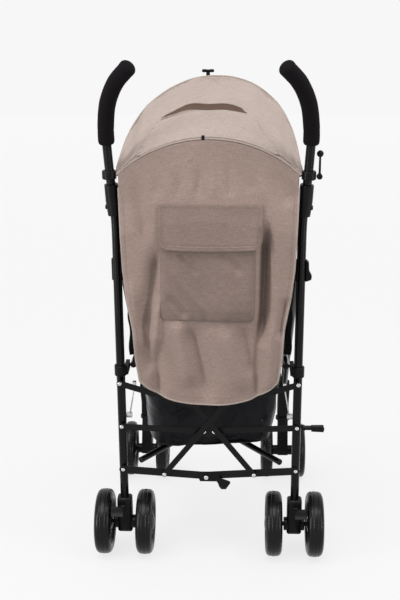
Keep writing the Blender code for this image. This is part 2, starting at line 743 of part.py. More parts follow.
def sideParts():
    # latch pedal that stands out of the right tube
    px = halfTrack + tubeRadius + 0.0052
    mount = drum(0.0048, -0.006, 0.006, 14, "Y", edge=0.0006)
    obj = meshObject("side_pedal", *mount, "plastic", rearPlane, (px, 0.0, midPivot - 0.004), smooth=False)
    arm = prism([(0.0, -0.0030), (0.0160, -0.0030), (0.0170, -0.0065), (0.0420, -0.0075), (0.0440, -0.0010),
                 (0.0420, 0.0050), (0.0170, 0.0045), (0.0160, 0.0030), (0.0, 0.0030)], -0.0050, 0.0050)
    carve(obj, [arm], "UNION")

    # slim latch arm with a ball end beside the right handle
    x = halfTrack + 0.0300
    foot = drum(0.0058, -0.0045, 0.0045, 14, "Y", edge=0.0006)
    latch = meshObject("latch_arm", *foot, "plastic", rearPlane, (x, -0.004, clampHeight - 0.002), smooth=False)
    shaft = prism([(-0.0022, 0.004), (0.0022, 0.004), (0.0018, 0.0420), (-0.0018, 0.0420)], -0.0028, 0.0028)
    ball = []
    for k in range(7):
        t = math.pi * k / 6
        ball.append((max(0.0068 * math.sin(t), 0.0006), 0.0440 - 0.0068 * math.cos(t)))
    loops = [[(r * math.cos(a), r * math.sin(a), h) for a in np.linspace(0, 2 * math.pi, 12, endpoint=False)]
             for r, h in ball]
    carve(latch, [shaft, orient(*skin(loops))], "UNION")


def tieRods(side, tag):
    # thin rod with a block at each end, beside the push tube
    top = np.array([halfTrack - 0.0265, 0.010, railPivot - 0.0440])
    low = np.array([halfTrack - 0.0160, 0.010, midPivot + 0.0200])
    line = rod([top, low], 0.0014, 8)
    blockTop = block((0.0070, 0.0090, 0.0150), tuple(top + np.array([0, 0, 0.0060])))
    blockLow = block((0.0120, 0.0100, 0.0090), tuple(low + np.array([0.0020, 0, -0.0030])))
    obj = meshObject("tie_rod_" + tag, *line, "steel", rearPlane, smooth=False, side=side)
    carve(obj, [mirrorShape(blockTop, side), mirrorShape(blockLow, side)], "UNION")


pivotY, pivotZ = toWorld(-0.003, clampHeight)


def archHeight(x):
    """Height of the rear arch over the pivots."""
    radius = (hoodHalfWidth**2 + rearArchRise**2) / (2 * rearArchRise)
    return np.sqrt(np.maximum(radius**2 - x**2, 0)) - (radius - rearArchRise)


def hoodPoint(s, t):
    """s runs across from right to left (0 to pi), t from the rear arch to the front hoop."""
    x = hoodHalfWidth * np.cos(s) * (1 + hoodFlare * np.sin(s) ** 2)
    rear = np.stack([x, np.full_like(x, -0.012), archHeight(x)], -1)
    reach = hoodReach * np.sin(s)
    front = np.stack([x, reach * math.sin(hoodTilt), reach * math.cos(hoodTilt)], -1)
    belly = np.sin(math.pi * t) * 0.012 * np.sin(s) - np.exp(-((t - 0.45) / 0.10) ** 2) * 0.004 * np.sin(s)
    mix = rear * (1 - t) + front * t
    mix[..., 1] -= belly * 0.35
    mix[..., 2] += belly
    return mix


def hood():
    cols, rows = 23, 9
    s = np.linspace(0.045, math.pi - 0.045, cols)
    surface = []
    for t in np.linspace(0, 1, rows):
        surface.append(hoodPoint(s, t))
    verts, faces = clothSolid(surface, clothThickness)
    place = (0, pivotY, pivotZ)
    meshObject("canopy", verts, faces, "canopy", origin, place)

    # spring hoop just inside the front hem, with the loop and toggle at its top
    s = np.linspace(0.012, math.pi - 0.012, 21)
    path = hoodPoint(s, 1.0)
    off = np.array([0, math.sin(hoodTilt), math.cos(hoodTilt)])
    ahead = np.array([0, math.cos(hoodTilt), -math.sin(hoodTilt)])
    path = path + ahead * (clothThickness / 2 + 0.0033)
    ring = rod(path, 0.0034, 6)
    peak = path[len(path) // 2]
    hoop = meshObject("canopy_hoop", *ring, "plastic", origin, place)
    loop = block((0.0080, 0.0040, 0.0180), tuple(peak + np.array([0.0, 0.0020, 0.0065])))
    toggle = drum(0.0032, -0.013, 0.013, 10, "X", tuple(peak + np.array([0.0, 0.0020, 0.0160])), 0.0008)
    carve(hoop, [loop, toggle], "UNION")


def panelHalfWidth(v):
    return halfTrack - np.interp(v, [0.0, 0.10, 0.30, 0.45, 0.60, 0.75, 0.90, 1.0], panelInset)


panelDepth = -(tubeRadius + 0.0008 + 7 * (stripThickness + layerGap)) - 0.0045


def foldDepth(x, v):
    """Soft upright folds of the hanging cloth, deeper towards its free lower edge."""
    swing = np.sin(x * 41.0 + 0.8 * v) * 0.55 + np.sin(x * 73.0 - 2.1 + 1.7 * v) * 0.35
    return -(1 + swing) * (0.0012 + 0.0042 * v) - 0.006 * np.sin(math.pi * v) * np.cos(x / 0.17 * math.pi / 2)


def panelPoint(across, v):
    """across runs from -1 to 1, v from the hood's rear arch down to the lower hem."""
    x = across * panelHalfWidth(v)
    topZ = pivotZ + archHeight(x) - 0.0010
    edge = np.abs(across) ** 2.8
    lowZ = panelBottomHeight + panelCornerLift * edge
    z = topZ * (1 - v) + lowZ * v
    up = (z - wheelRadius) / math.cos(leanAngle)
    y = panelDepth * (0.35 + 0.65 * np.minimum(v * 3.5, 1.0)) - up * math.sin(leanAngle)
    y = y + foldDepth(x, v) * np.minimum(v * 5.0, 1.0)
    seam = 1 - np.minimum(v * 6.0, 1.0)
    y = y * (1 - seam) + (pivotY - 0.012 - clothThickness * 0.5 - fitGap) * seam
    return np.stack([x, y, z], -1)


def rearPanel():
    across = np.linspace(-1, 1, 25)
    surface = []
    for v in np.linspace(0, 1, 11):
        surface.append(panelPoint(across, np.full_like(across, v)))
    verts, faces = clothSolid(surface, clothThickness)
    meshObject("rear_panel", verts, faces, "panel", origin)


def onPanel(x, z, out):
    """The point behind the panel at a given width and height."""
    v = np.zeros_like(x)
    for _ in range(12):
        across = np.clip(x / panelHalfWidth(v), -1, 1)
        topZ = pivotZ + archHeight(x) - 0.0010
        lowZ = panelBottomHeight + panelCornerLift * np.abs(across) ** 2.8
        v = np.clip((topZ - z) / (topZ - lowZ), 0, 1)
    p = panelPoint(x / panelHalfWidth(v), v)
    p[..., 1] -= out
    return p


def flapOut(z, a):
    """How far the flap stands behind the panel: flat along its seam, then over the pocket's mouth."""
    over = np.clip((flapTop - 0.050 - z) / 0.030, 0, 1)
    over = over * over * (3 - 2 * over)
    return 0.0029 + over * (0.0148 + 0.0050 * a)


def pocketParts():
    # bag-like pocket, fuller towards its right side, that hangs from the underside of its flap
    left, right, top, bottom = -0.0940, 0.0910, flapTop - 0.078, flapTop - 0.078 - pocketDepth
    a = np.linspace(0, 1, 13)
    surface = []
    z = np.full_like(a, flapTop - 0.063)
    surface.append(onPanel(left + (right - left) * a, z, flapOut(z, a)))
    for b in np.linspace(0, 1, 7):
        cut = 0.012 * max(0.0, (b - 0.86) / 0.14)
        x = left + cut + (right - left - 2 * cut) * a
        z = np.full_like(x, top + (bottom - top) * b)
        swell = (np.sin(math.pi * a) ** 0.6) * (0.35 + 0.65 * math.sin(math.pi * min(b * 0.9 + 0.1, 1)))
        out = 0.0044 + 0.0100 * swell * (0.55 + 0.45 * a)
        surface.append(onPanel(x, z, out))
    body = clothSolid(surface, 0.0022)

    left, right, top, bottom = -0.0975, 0.1050, flapTop, flapTop - flapDrop
    surface = []
    for b in np.linspace(0, 1, 7):
        cut = 0.010 * max(0.0, (b - 0.80) / 0.20) ** 2
        x = left + cut + (right - left - 2 * cut) * a
        z = np.full_like(x, top + (bottom - top) * b)
        surface.append(onPanel(x, z, flapOut(z, a)))
    verts, faces = clothSolid(surface, 0.0022)
    pocket = meshObject("pocket", verts, faces, "pocket", origin)
    carve(pocket, [body], "UNION")


backFootY, backFootZ = railY + 0.0672, railZ + 0.0046
backTopY, backTopZ = pivotY + 0.0449, pivotZ + 0.0031


def padSolid(centres, uDir, vDir, halfU, halfV, thickness, cols, rows, channels):
    """A crowned pad: a closed form with thin drawn-in edges and shallow sewn channels."""
    u = np.linspace(-1, 1, cols)
    v = np.linspace(-1, 1, rows)
    uu, vv = np.meshgrid(u, v)
    edge = (1 - np.abs(uu) ** 5) * (1 - np.abs(vv) ** 5)
    crown = 0.30 + 0.70 * np.sqrt(np.clip(edge, 0, 1))
    groove = np.ones_like(vv)
    for g in channels:
        groove -= 0.30 * np.exp(-((vv - g) / 0.07) ** 2)
    pull = 1 - 0.020 * (1 - np.abs(vv) ** 2) * np.abs(uu)
    normal = np.cross(uDir, vDir)
    base = centres + (uu * halfU * pull)[..., None] * uDir + (vv * halfV)[..., None] * vDir
    front = base + (thickness / 2 * crown * groove)[..., None] * normal
    back = base - (thickness / 2 * crown)[..., None] * normal
    count = rows * cols
    verts = np.concatenate([front.reshape(-1, 3), back.reshape(-1, 3)])
    faces = []
    for i in range(rows - 1):
        for j in range(cols - 1):
            a, b, c, d = i * cols + j, i * cols + j + 1, (i + 1) * cols + j + 1, (i + 1) * cols + j
            faces.append((a, b, c, d))
            faces.append((count + d, count + c, count + b, count + a))
    ring = [(0, j) for j in range(cols)] + [(i, cols - 1) for i in range(1, rows)]
    ring += [(rows - 1, j) for j in range(cols - 2, -1, -1)] + [(i, 0) for i in range(rows - 2, 0, -1)]
    ids = [i * cols + j for i, j in ring]
    for k, a in enumerate(ids):
        b = ids[(k + 1) % len(ids)]
        faces.append((b, a, count + a, count + b))
    return orient(verts.tolist(), faces)


def seatParts():
    # backrest between the push tubes, leaning back
    foot = np.array([0, backFootY, backFootZ])
    top = np.array([0, backTopY, backTopZ])
    rise = (top - foot) / np.linalg.norm(top - foot)
    centre = (foot + top) / 2
    verts, faces = padSolid(centre, np.array([1.0, 0, 0]), rise, halfTrack - backrestInset, float(np.linalg.norm(top - foot)) / 2,
                            0.020, 11, 13, (-0.5, 0.0, 0.5))
    meshObject("backrest", verts, faces, "lining", origin)

    # seat pad between the rails, its rear edge at the backrest's foot
    length = seatLength
    slope = math.atan2(railVector[2], railVector[1])
    along = np.array([0, math.cos(slope), math.sin(slope)])
    middle = np.array([0, railY, railZ]) + along * (0.052 + length / 2)
    middle[2] -= 0.004
    verts, faces = padSolid(middle - np.array([0, railY, railZ]), np.array([1.0, 0, 0]), along,
                            (railX - railRadius) - fitGap, length / 2 - 0.012, seatThickness, 11, 9, (0.0,))
    meshObject("seat_pad", verts, faces, "lining", origin, (0, railY, railZ))


def basketParts():
    # open-topped fabric basket under the seat: thin walls and floor, sagging in the middle
    topZ, rearY, frontY = basketTop, 0.040, 0.330
    cols, depth = 11, 5
    wall = 0.0030
    def rim(level, inset):
        halfX = halfTrack - basketInset - 0.016 * level - inset
        y0 = rearY + 0.012 * level + inset
        y1 = frontY - 0.020 * level - inset
        points = []
        r = 0.030 - inset
        for cx, cy, a0 in ((halfX - r, y1 - r, 0), (-halfX + r, y1 - r, 90), (-halfX + r, y0 + r, 180),
                           (halfX - r, y0 + r, 270)):
            for k in range(4):
                a = math.radians(a0 + 30 * k)
                points.append((cx + r * math.cos(a), cy + r * math.sin(a)))
        return points
    def floorDepth(x, y):
        return basketDepth + basketDrop * (frontY - y) / (frontY - rearY) + 0.012 * (1 - (x / 0.15) ** 2)
    loops = []
    outerLevels = [(1.0, 0.0), (0.5, 0.0), (0.0, 0.0)]
    for level, inset in outerLevels:
        loops.append([(x, y, topZ - level * floorDepth(x, y)) for x, y in rim(level, inset)])
    for level, inset in ((0.0, wall), (0.5, wall), (0.96, wall)):
        loops.append([(x, y, topZ - level * floorDepth(x, y)) for x, y in rim(level, inset)])
    verts, faces = orient(*skin(loops))
    basket = meshObject("basket", verts, faces, "lining", origin)

    # four tabs that hang it from the seat rails
    slope = railVector[2] / railVector[1]
    tabs = []
    for sign in (-1, 1):
        for y in (rearY + 0.045, railFrontY - 0.030):
            hang = railZ + slope * (y - railY) - railRadius - fitGap - 0.0004
            low, high = np.array([sign * (halfTrack - basketInset - wall / 2), y, topZ - 0.012]), np.array([sign * railX, y, hang])
            line = [[low + np.array([0, w, 0]), low + np.array([0, -w, 0])] for w in (0.011,)]
            line.append([high + np.array([0, 0.009, 0]), high + np.array([0, -0.009, 0])])
            tabs.append(clothSolid(line, clothThickness))
    carve(basket, tabs, "UNION")


def harness():
    # two shoulder straps and a crotch strap that lie on the pads, each with its end slot
    foot = np.array([0, backFootY, backFootZ])
    top = np.array([0, backTopY, backTopZ])
    rise = (top - foot) / np.linalg.norm(top - foot)
    normal = np.array([0, rise[2], -rise[1]])
    p = foot + (top - foot) * 0.165 + normal * 0.0165
    shapes = []
    for x in (-0.055, 0.055):
        line = []
        for k in np.linspace(0.17, 0.74, 9):
            lean = min(1.0, (k - 0.17) / 0.25)
            q = foot + (top - foot) * k + normal * (0.0125 - 0.0010 * lean)
            middle = x * (0.20 + 0.80 * lean)
            line.append([q + np.array([middle + 0.011, 0, 0]), q + np.array([middle - 0.011, 0, 0])])
        shapes.append(clothSolid(line, 0.0016))
    line = []
    for k in np.linspace(0.05, 0.150, 4):
        q = foot + (top - foot) * k + normal * 0.0125
        line.append([q + np.array([0.012, 0, 0]), q + np.array([-0.012, 0, 0])])
    shapes.append(clothSolid(line, 0.0016))
    verts, faces = block((0.046, 0.010, 0.034))
    verts = [tuple(p + np.array([x, 0, 0]) + normal * y + rise * z) for x, y, z in verts]
    obj = meshObject("harness", verts, faces, "webbing", origin, smooth=False)
    carve(obj, shapes, "UNION")


for side, tag in ((1, "r"), (-1, "l")):
    pushTube(side, tag)
    grip(side, tag)
    coupler(side, tag)
    canopyClamp(side, tag)
    hingeBracket(side, tag)
    seatBracket(side, tag)
    rearHousing(side, tag)
    wheelPair(False, side, tag)
    wheelPair(True, side, tag)
    brakePedal(side, tag)
    frontLeg(side, tag)
    casterHousing(side, tag)
    swivelFork(side, tag)
    linkage(side, tag)
    seatRail(side, tag)
    floorBar(side, tag)
    tieRods(side, tag)
centreParts()
sideParts()
hood()
rearPanel()
pocketParts()
seatParts()
basketParts()
harness()

# the object stands on z = 0 with the middle of its length at y = 0
frontEnd = wheelBase + wheelRadius
gripEnd = handlePath[-1] + (handlePath[-1] - handlePath[-2]) / np.linalg.norm(
    handlePath[-1] - handlePath[-2]) * gripTipDistance
rearEnd = toWorld(gripEnd[1], gripEnd[2])[0] - gripRadius * 0.55
origin.location = (0, -(frontEnd + rearEnd) / 2, 0)
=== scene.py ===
import math
import bmesh
import bpy
import numpy as np
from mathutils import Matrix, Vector


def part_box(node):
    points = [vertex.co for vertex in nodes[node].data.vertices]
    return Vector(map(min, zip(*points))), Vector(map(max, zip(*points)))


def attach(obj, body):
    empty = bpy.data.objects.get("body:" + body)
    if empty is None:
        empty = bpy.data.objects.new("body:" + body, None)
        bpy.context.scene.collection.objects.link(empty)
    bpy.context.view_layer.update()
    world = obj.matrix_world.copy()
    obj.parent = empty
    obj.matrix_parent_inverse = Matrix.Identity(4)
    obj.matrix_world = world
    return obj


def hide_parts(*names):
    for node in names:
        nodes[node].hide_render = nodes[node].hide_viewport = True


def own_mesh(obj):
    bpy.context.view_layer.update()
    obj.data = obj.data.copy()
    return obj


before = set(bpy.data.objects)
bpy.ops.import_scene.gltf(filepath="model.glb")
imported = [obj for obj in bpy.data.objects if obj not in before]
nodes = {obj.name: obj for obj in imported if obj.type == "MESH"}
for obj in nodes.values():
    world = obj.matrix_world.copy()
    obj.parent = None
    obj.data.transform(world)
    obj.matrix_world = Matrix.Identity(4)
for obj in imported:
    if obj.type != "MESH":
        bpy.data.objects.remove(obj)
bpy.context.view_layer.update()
print("frame loaded:", len(nodes), "nodes")


# where the chair stands, read back from the frame
def middleOf(name):
    low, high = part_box(name)
    return (np.array(low) + np.array(high)) / 2


rearHub, frontHub = middleOf("rear_hubs_r"), middleOf("front_hubs_r")
chair = {
    "axleY": float(rearHub[1]),
    "axleZ": float(rearHub[2]),
    "frontY": float(frontHub[1]),
    "lean": math.radians(7.0),        # push tubes, from upright
    "halfTrack": float(rearHub[0]),
    "frontTrack": float(frontHub[0]),
    "clampUp": 0.771,                 # along the tube, from the axle
}
acrossDir = np.array([1.0, 0, 0])
sides = ((1, "right", "r"), (-1, "left", "l"))


def onLean(x, forward, up):
    # x across, forward off the tube, up along it, turned by the lean into the row frame
    x, forward, up = np.broadcast_arrays(*(np.asarray(v, float) for v in (x, forward, up)))
    c, s = math.cos(chair["lean"]), math.sin(chair["lean"])
    y = chair["axleY"] + forward * c - up * s
    return np.stack([x, y, chair["axleZ"] + forward * s + up * c], -1)


# shader helpers; a kind given in short is a shader node
def node(tree, kind, inputs=None, **settings):
    made = tree.nodes.new(kind if "Node" in kind else "ShaderNode" + kind)
    for key, value in settings.items():
        setattr(made, key, value)
    for key, value in (inputs or {}).items():
        if isinstance(value, bpy.types.NodeSocket):
            tree.links.new(value, made.inputs[key])
        else:
            made.inputs[key].default_value = value
    return made


def connect(tree, ends, sources):
    for key, source in sources.items():
        tree.links.new(source, ends[key])


def maths(tree, operation, *values):
    return node(tree, "Math", dict(enumerate(values)), operation=operation).outputs[0]


def mapRange(tree, value, fromLow, fromHigh, toLow, toHigh):
    ranges = {1: fromLow, 2: fromHigh, 3: toLow, 4: toHigh}
    return node(tree, "MapRange", {0: value, **ranges}).outputs[0]


def noise(tree, at, scale, detail, **inputs):
    return node(tree, "TexNoise", {"Vector": at, "Scale": scale, "Detail": detail, **inputs})


def blendColour(tree, factor, a, b):
    return node(tree, "Mix", {0: factor, 6: a, 7: b}, data_type="RGBA").outputs[2]


def newGroup(name, inputs, outputs):
    # a vector is given as None and a colour as a tuple; every output but Color is a number
    group = bpy.data.node_groups.new(name, "ShaderNodeTree")
    newSocket = group.interface.new_socket
    for label, value in inputs.items():
        kind = "Vector" if value is None else "Color" if isinstance(value, tuple) else "Float"
        socket = newSocket(label, in_out="INPUT", socket_type="NodeSocket" + kind)
        if value is not None:
            socket.default_value = value
    for label in outputs:
        kind = "Color" if label == "Color" else "Float"
        newSocket(label, in_out="OUTPUT", socket_type="NodeSocket" + kind)
    start, end = group.nodes.new("NodeGroupInput"), group.nodes.new("NodeGroupOutput")
    return group, start.outputs, end.inputs


def buildWeaveGroup():
    # over-and-under threads with slubs: stretched noises for warp and weft, two sines for threads
    group, given, out = newGroup("linenWeave", {
        "Vector": None, "Light": (0.6, 0.5, 0.45, 1), "Dark": (0.3, 0.25, 0.2, 1),
        "Thread": 1400.0, "Slub": 1.0}, ("Color", "Roughness", "Height"))
    apart = node(group, "SeparateXYZ", {0: given["Vector"]})
    u, v = apart.outputs[0], apart.outputs[1]
    spun = []
    for perU, perV, layer in ((1250.0, 95.0, 0.0), (80.0, 1150.0, 7.3)):
        at = node(group, "CombineXYZ", {0: maths(group, "MULTIPLY", u, perU),
                                        1: maths(group, "MULTIPLY", v, perV), 2: layer})
        spun.append(noise(group, at.outputs[0], 1.0, 2.0).outputs[0])
    both = maths(group, "ADD", *spun)
    patchy = noise(group, given["Vector"], 16.0, 3.0).outputs[0]
    tone = mapRange(group, patchy, 0.3, 0.7, -0.07, 0.07)
    spread = mapRange(group, both, 0.58, 1.42, 0.0, 1.0)
    strength = maths(group, "MULTIPLY_ADD", spread, given["Slub"], tone)
    held = node(group, "Clamp", {0: strength}).outputs[0]
    waved = [maths(group, "SINE", maths(group, "MULTIPLY", way, given["Thread"])) for way in (u, v)]
    threads = maths(group, "MULTIPLY", *waved)
    connect(group, out, {"Color": blendColour(group, held, given["Dark"], given["Light"]),
                         "Roughness": mapRange(group, both, 0.7, 1.3, 0.92, 0.78),
                         "Height": maths(group, "MULTIPLY_ADD", threads, 0.35, both)})
    return group


def buildWearGroup():
    # rubbed paint: fine speckle, long scratches and soft dust, each from its own noise
    group, given, out = newGroup("rubbedFinish", {
        "Vector": None, "Base": (0.02, 0.02, 0.02, 1), "Worn": (0.1, 0.1, 0.1, 1),
        "Rough": 0.35, "Scale": 60.0}, ("Color", "Roughness", "Height"))
    fine = noise(group, given["Vector"], given["Scale"], 6.0, Roughness=0.65).outputs[0]
    wide = noise(group, given["Vector"], 9.0, 3.0).outputs[0]
    stretch = node(group, "Mapping", {"Vector": given["Vector"], "Scale": (260.0, 260.0, 14.0)})
    lines = noise(group, stretch.outputs[0], 1.0, 2.0).outputs[0]
    marks = maths(group, "ADD", mapRange(group, lines, 0.66, 0.74, 0.0, 0.35),
                  mapRange(group, wide, 0.45, 0.75, 0.0, 0.16))
    mask = maths(group, "MULTIPLY", marks, fine)
    away = maths(group, "SUBTRACT", fine, 0.5)
    connect(group, out, {"Color": blendColour(group, mask, given["Base"], given["Worn"]),
                         "Roughness": maths(group, "MULTIPLY_ADD", away, 0.22, given["Rough"]),
                         "Height": fine})
    return group


def buildCreaseGroup():
    # crumpled nylon: smooth cells of two sizes, summed, on warped coordinates
    group, given, out = newGroup("crumple", {"Vector": None, "Scale": 22.0}, ("Height", "Mask"))
    warp = noise(group, given["Vector"], 9.0, 3.0).outputs[1]
    moved = node(group, "VectorMath", {0: warp, 3: 0.10}, operation="SCALE")
    at = node(group, "VectorMath", {0: given["Vector"], 1: moved.outputs[0]}, operation="ADD")
    big, small = [node(group, "TexVoronoi", {"Vector": at.outputs[0], "Scale": scale},
                       feature="SMOOTH_F1").outputs[0]
                  for scale in (given["Scale"], maths(group, "MULTIPLY", given["Scale"], 2.7))]
    height = maths(group, "MULTIPLY_ADD", small, 0.35, big)
    connect(group, out, {"Height": height, "Mask": node(group, "Clamp", {0: height}).outputs[0]})
    return group


weaveGroup, wearGroup, creaseGroup = buildWeaveGroup(), buildWearGroup(), buildCreaseGroup()


def newLook(name, **sockets):
    look = bpy.data.materials.new(name)
    look.use_nodes = True
    shader = look.node_tree.nodes["Principled BSDF"]
    for key, value in sockets.items():
        shader.inputs[key.replace("_", " ")].default_value = value
    return look, look.node_tree, shader


def finishLook(tree, shader, colour, roughness, height, strength, distance):
    bump = node(tree, "Bump", {"Height": height, "Strength": strength, "Distance": distance})
    connect(tree, shader.inputs, {"Base Color": colour, "Roughness": roughness,
                                  "Normal": bump.outputs[0]})


def groupLook(name, group, given, where, strength, distance, **sockets):
    look, tree, shader = newLook(name, **sockets)
    at = node(tree, "TexCoord").outputs[where]
    out = node(tree, "Group", {"Vector": at, **given}, node_tree=group).outputs
    finishLook(tree, shader, out["Color"], out["Roughness"], out["Height"], strength, distance)
    return look


def clothLook(name, light, dark, thread=4200.0, depth=0.0005, where="UV", sheen=0.06):
    given = {"Light": (*light, 1), "Dark": (*dark, 1), "Thread": thread, "Slub": 0.85}
    return groupLook(name, weaveGroup, given, where, 0.55, depth, Sheen_Weight=sheen,
                     Sheen_Roughness=0.5, Specular_IOR_Level=0.08)


def paintLook(name, base, worn, rough, scale, depth, specular=0.5, metallic=0.0):
    given = {"Base": (*base, 1), "Worn": (*worn, 1), "Rough": rough, "Scale": scale}
    return groupLook(name, wearGroup, given, "Object", 0.35, depth, Specular_IOR_Level=specular,
                     Metallic=metallic)


def nylonLook(name, base, shine):
    look, tree, shader = newLook(name, Specular_IOR_Level=0.16, Sheen_Weight=0.0)
    at = node(tree, "TexCoord").outputs["Object"]
    crease = node(tree, "Group", {"Vector": at}, node_tree=creaseGroup).outputs
    # the crumple tops are painted lighter: a painted highlight on the ridges
    colour = blendColour(tree, crease["Mask"], (*base, 1), (*[c * 1.9 for c in base], 1))
    rough = mapRange(tree, crease["Mask"], 0.0, 1.0, shine, shine + 0.2)
    finishLook(tree, shader, colour, rough, crease["Height"], 0.8, 0.006)
    return look


lining = {"where": "Object", "sheen": 0.04}
looks = {
    # hood, panel and pocket are one linen: the hood's copy is painted lighter for the light on its
    # top, and the panel's and pocket's copies darker as painted shade
    "hood": clothLook("hoodLinen", (0.430, 0.360, 0.324), (0.268, 0.216, 0.193), depth=0.0004),
    "panel": clothLook("panelLinen", (0.374, 0.288, 0.252), (0.214, 0.156, 0.133)),
    "pocket": clothLook("pocketLinen", (0.285, 0.217, 0.191), (0.158, 0.115, 0.099)),
    # a dark copy of the linen: painted shade for the gap above the hood's window flap
    "shade": clothLook("paintedShadeLinen", (0.112, 0.068, 0.048), (0.067, 0.040, 0.028)),
    "lining": clothLook("blackLining", (0.014, 0.014, 0.017), (0.005, 0.005, 0.006), 2600.0,
                        **lining),
    "webbing": clothLook("blackWebbing", (0.015, 0.015, 0.016), (0.005,) * 3, 2100.0, **lining),
    "nylon": nylonLook("crumpledNylon", (0.0026, 0.0028, 0.0038), 0.24),
}
# material, colour, worn colour, roughness, speckle scale, bump depth, specular, metallic
paints = {
    "thread": ("sewingThread", (0.075, 0.052, 0.043), (0.12, 0.09, 0.075), 0.80, 400.0, 0.00015),
    "tube": ("glossPowderCoat", (0.0030, 0.0030, 0.0034), (0.012,) * 3, 0.17, 90.0, 0.00004, 0.16),
    "strip": ("satinPowderCoat", (0.0045, 0.0045, 0.005), (0.03,) * 3, 0.32, 140.0, 0.00008, 0.14),
    "plastic": ("mouldedPlastic", (0.0040, 0.0040, 0.0045), (0.014, 0.014, 0.015), 0.36, 320.0,
                0.00012, 0.12),
    "foam": ("handleFoam", (0.0072, 0.0060, 0.0070), (0.016, 0.014, 0.015), 0.80, 520.0, 0.0004,
             0.06),
    "tyre": ("tyreRubber", (0.0036, 0.0036, 0.0039), (0.010,) * 3, 0.27, 160.0, 0.00006, 0.17),
    "ratchet": ("blueGreyRatchet", (0.024, 0.028, 0.040), (0.05, 0.053, 0.062), 0.36, 220.0, 0.0001,
                0.20),
    "steel": ("zincSteel", (0.62, 0.62, 0.63), (0.40,) * 3, 0.26, 220.0, 0.00005, 0.5, 1.0),
}
for look, row in paints.items():
    looks[look] = paintLook(*row)
print("materials made:", len(looks))


# mesh helpers
def linkObject(name, data):
    obj = bpy.data.objects.new(name, data)
    bpy.context.scene.collection.objects.link(obj)
    return obj


def faceOut(bm):
    bmesh.ops.recalc_face_normals(bm, faces=bm.faces)


def meshObject(name, verts, faces, look, clean=faceOut, smooth=True, uvs=None):
    # clean works on the open mesh before it is written back
    mesh = bpy.data.meshes.new(name)
    mesh.from_pydata(verts.tolist(), [], faces.tolist())
    if uvs is not None:
        flat = uvs[faces.reshape(-1)].astype(np.float32).ravel()
        mesh.uv_layers.new(name="flat").data.foreach_set("uv", flat)
    bm = bmesh.new()
    bm.from_mesh(mesh)
    clean(bm)
    bm.to_mesh(mesh)
    bm.free()
    if smooth:
        mesh.polygons.foreach_set("use_smooth", np.ones(len(mesh.polygons), bool))
    mesh.materials.append(looks[look])
    return linkObject(name, mesh)


def gridFaces(rows, cols):
    index = np.arange(rows * cols).reshape(rows, cols)
    corners = [index[:-1, :-1], index[:-1, 1:], index[1:, 1:], index[1:, :-1]]
    return np.stack(corners, -1).reshape(-1, 4)


def assemble(name, parts, look, closed=True, merge=1e-6):
    # parts are grids of points with, if wanted, a grid of uv in metres; grids that meet are merged
    verts, faces, uvs, start = [], [], [], 0
    for part in parts:
        points, uv = part if isinstance(part, tuple) else (part, None)
        rows, cols = points.shape[:2]
        verts.append(points.reshape(-1, 3))
        faces.append(gridFaces(rows, cols) + start)
        uvs.append(np.zeros((rows * cols, 2)) if uv is None else uv.reshape(-1, 2))
        start += rows * cols

    def mergeGrids(bm):
        bmesh.ops.remove_doubles(bm, verts=bm.verts, dist=merge)
        bmesh.ops.dissolve_degenerate(bm, edges=bm.edges, dist=merge * 0.5)
        if closed:
            faceOut(bm)

    verts, faces, uvs = (np.concatenate(x) for x in (verts, faces, uvs))
    return meshObject(name, verts, faces, look, mergeGrids, uvs=uvs)


def roundedBlock(name, size, centre, axes, look, bevel, body):
    signs = np.array([[i, j, k] for i in (-1, 1) for j in (-1, 1) for k in (-1, 1)])
    points = signs * (np.array(size) / 2) @ np.asarray(axes, float) + np.asarray(centre)
    faces = np.array([(0, 1, 3, 2), (4, 6, 7, 5), (0, 4, 5, 1), (2, 3, 7, 6), (0, 2, 6, 4),
                      (1, 5, 7, 3)])

    def roundEdges(bm):
        bmesh.ops.bevel(bm, geom=bm.edges[:] + bm.verts[:], offset=bevel, segments=4, profile=0.5,
                        affect="EDGES")
        faceOut(bm)

    obj = meshObject(name, points, faces, look, roundEdges)
    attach(obj, body)
    return obj


def unit(v):
    return v / np.maximum(np.linalg.norm(v, axis=-1, keepdims=True), 1e-12)


def lengths(path):
    # how far along the path each of its points lies
    return np.concatenate([[0], np.cumsum(np.linalg.norm(np.diff(path, axis=0), axis=1))])


def unitGrid(cols, rows):
    return np.meshgrid(np.linspace(0, 1, cols), np.linspace(0, 1, rows))


def tube(path, radius, guide, steps=20, caps=True):
    # a circle carried along the path, its plane set by the tangent and the guide direction
    path = np.asarray(path, float)
    radius = np.broadcast_to(np.asarray(radius, float), len(path)).copy()
    tangent = unit(np.gradient(path, axis=0))
    side = unit(np.cross(tangent, np.broadcast_to(guide, path.shape)))
    up = np.cross(side, tangent)
    if caps:
        path, side, up = (np.concatenate([x[:1], x, x[-1:]]) for x in (path, side, up))
        radius = np.concatenate([[0.0], radius, [0.0]])
    angle = np.linspace(0, 2 * math.pi, steps + 1)
    angle[-1] = 0.0
    ring = np.cos(angle)[None, :, None] * side[:, None] + np.sin(angle)[None, :, None] * up[:, None]
    points = path[:, None] + radius[:, None, None] * ring
    girth = np.linspace(0, 1, steps + 1)[None, :] * 6.283 * radius.max()
    return points, np.stack(np.broadcast_arrays(girth, lengths(path)[:, None]), -1)


def lathe(profile, centre, steps=72, ripple=None):
    # a profile of (x, r) turned about a line along X through the centre; ripple moves x
    profile = np.asarray(profile, float)
    angle = np.linspace(0, 2 * math.pi, steps + 1)
    angle[-1] = 0.0
    x = np.broadcast_to(profile[:, :1], (len(profile), steps + 1)).copy()
    r = np.broadcast_to(profile[:, 1:2], x.shape)
    if ripple is not None:
        x = x + ripple(angle[None, :], r)
    return np.stack([x, r * np.sin(angle), r * np.cos(angle)], -1) + np.asarray(centre)


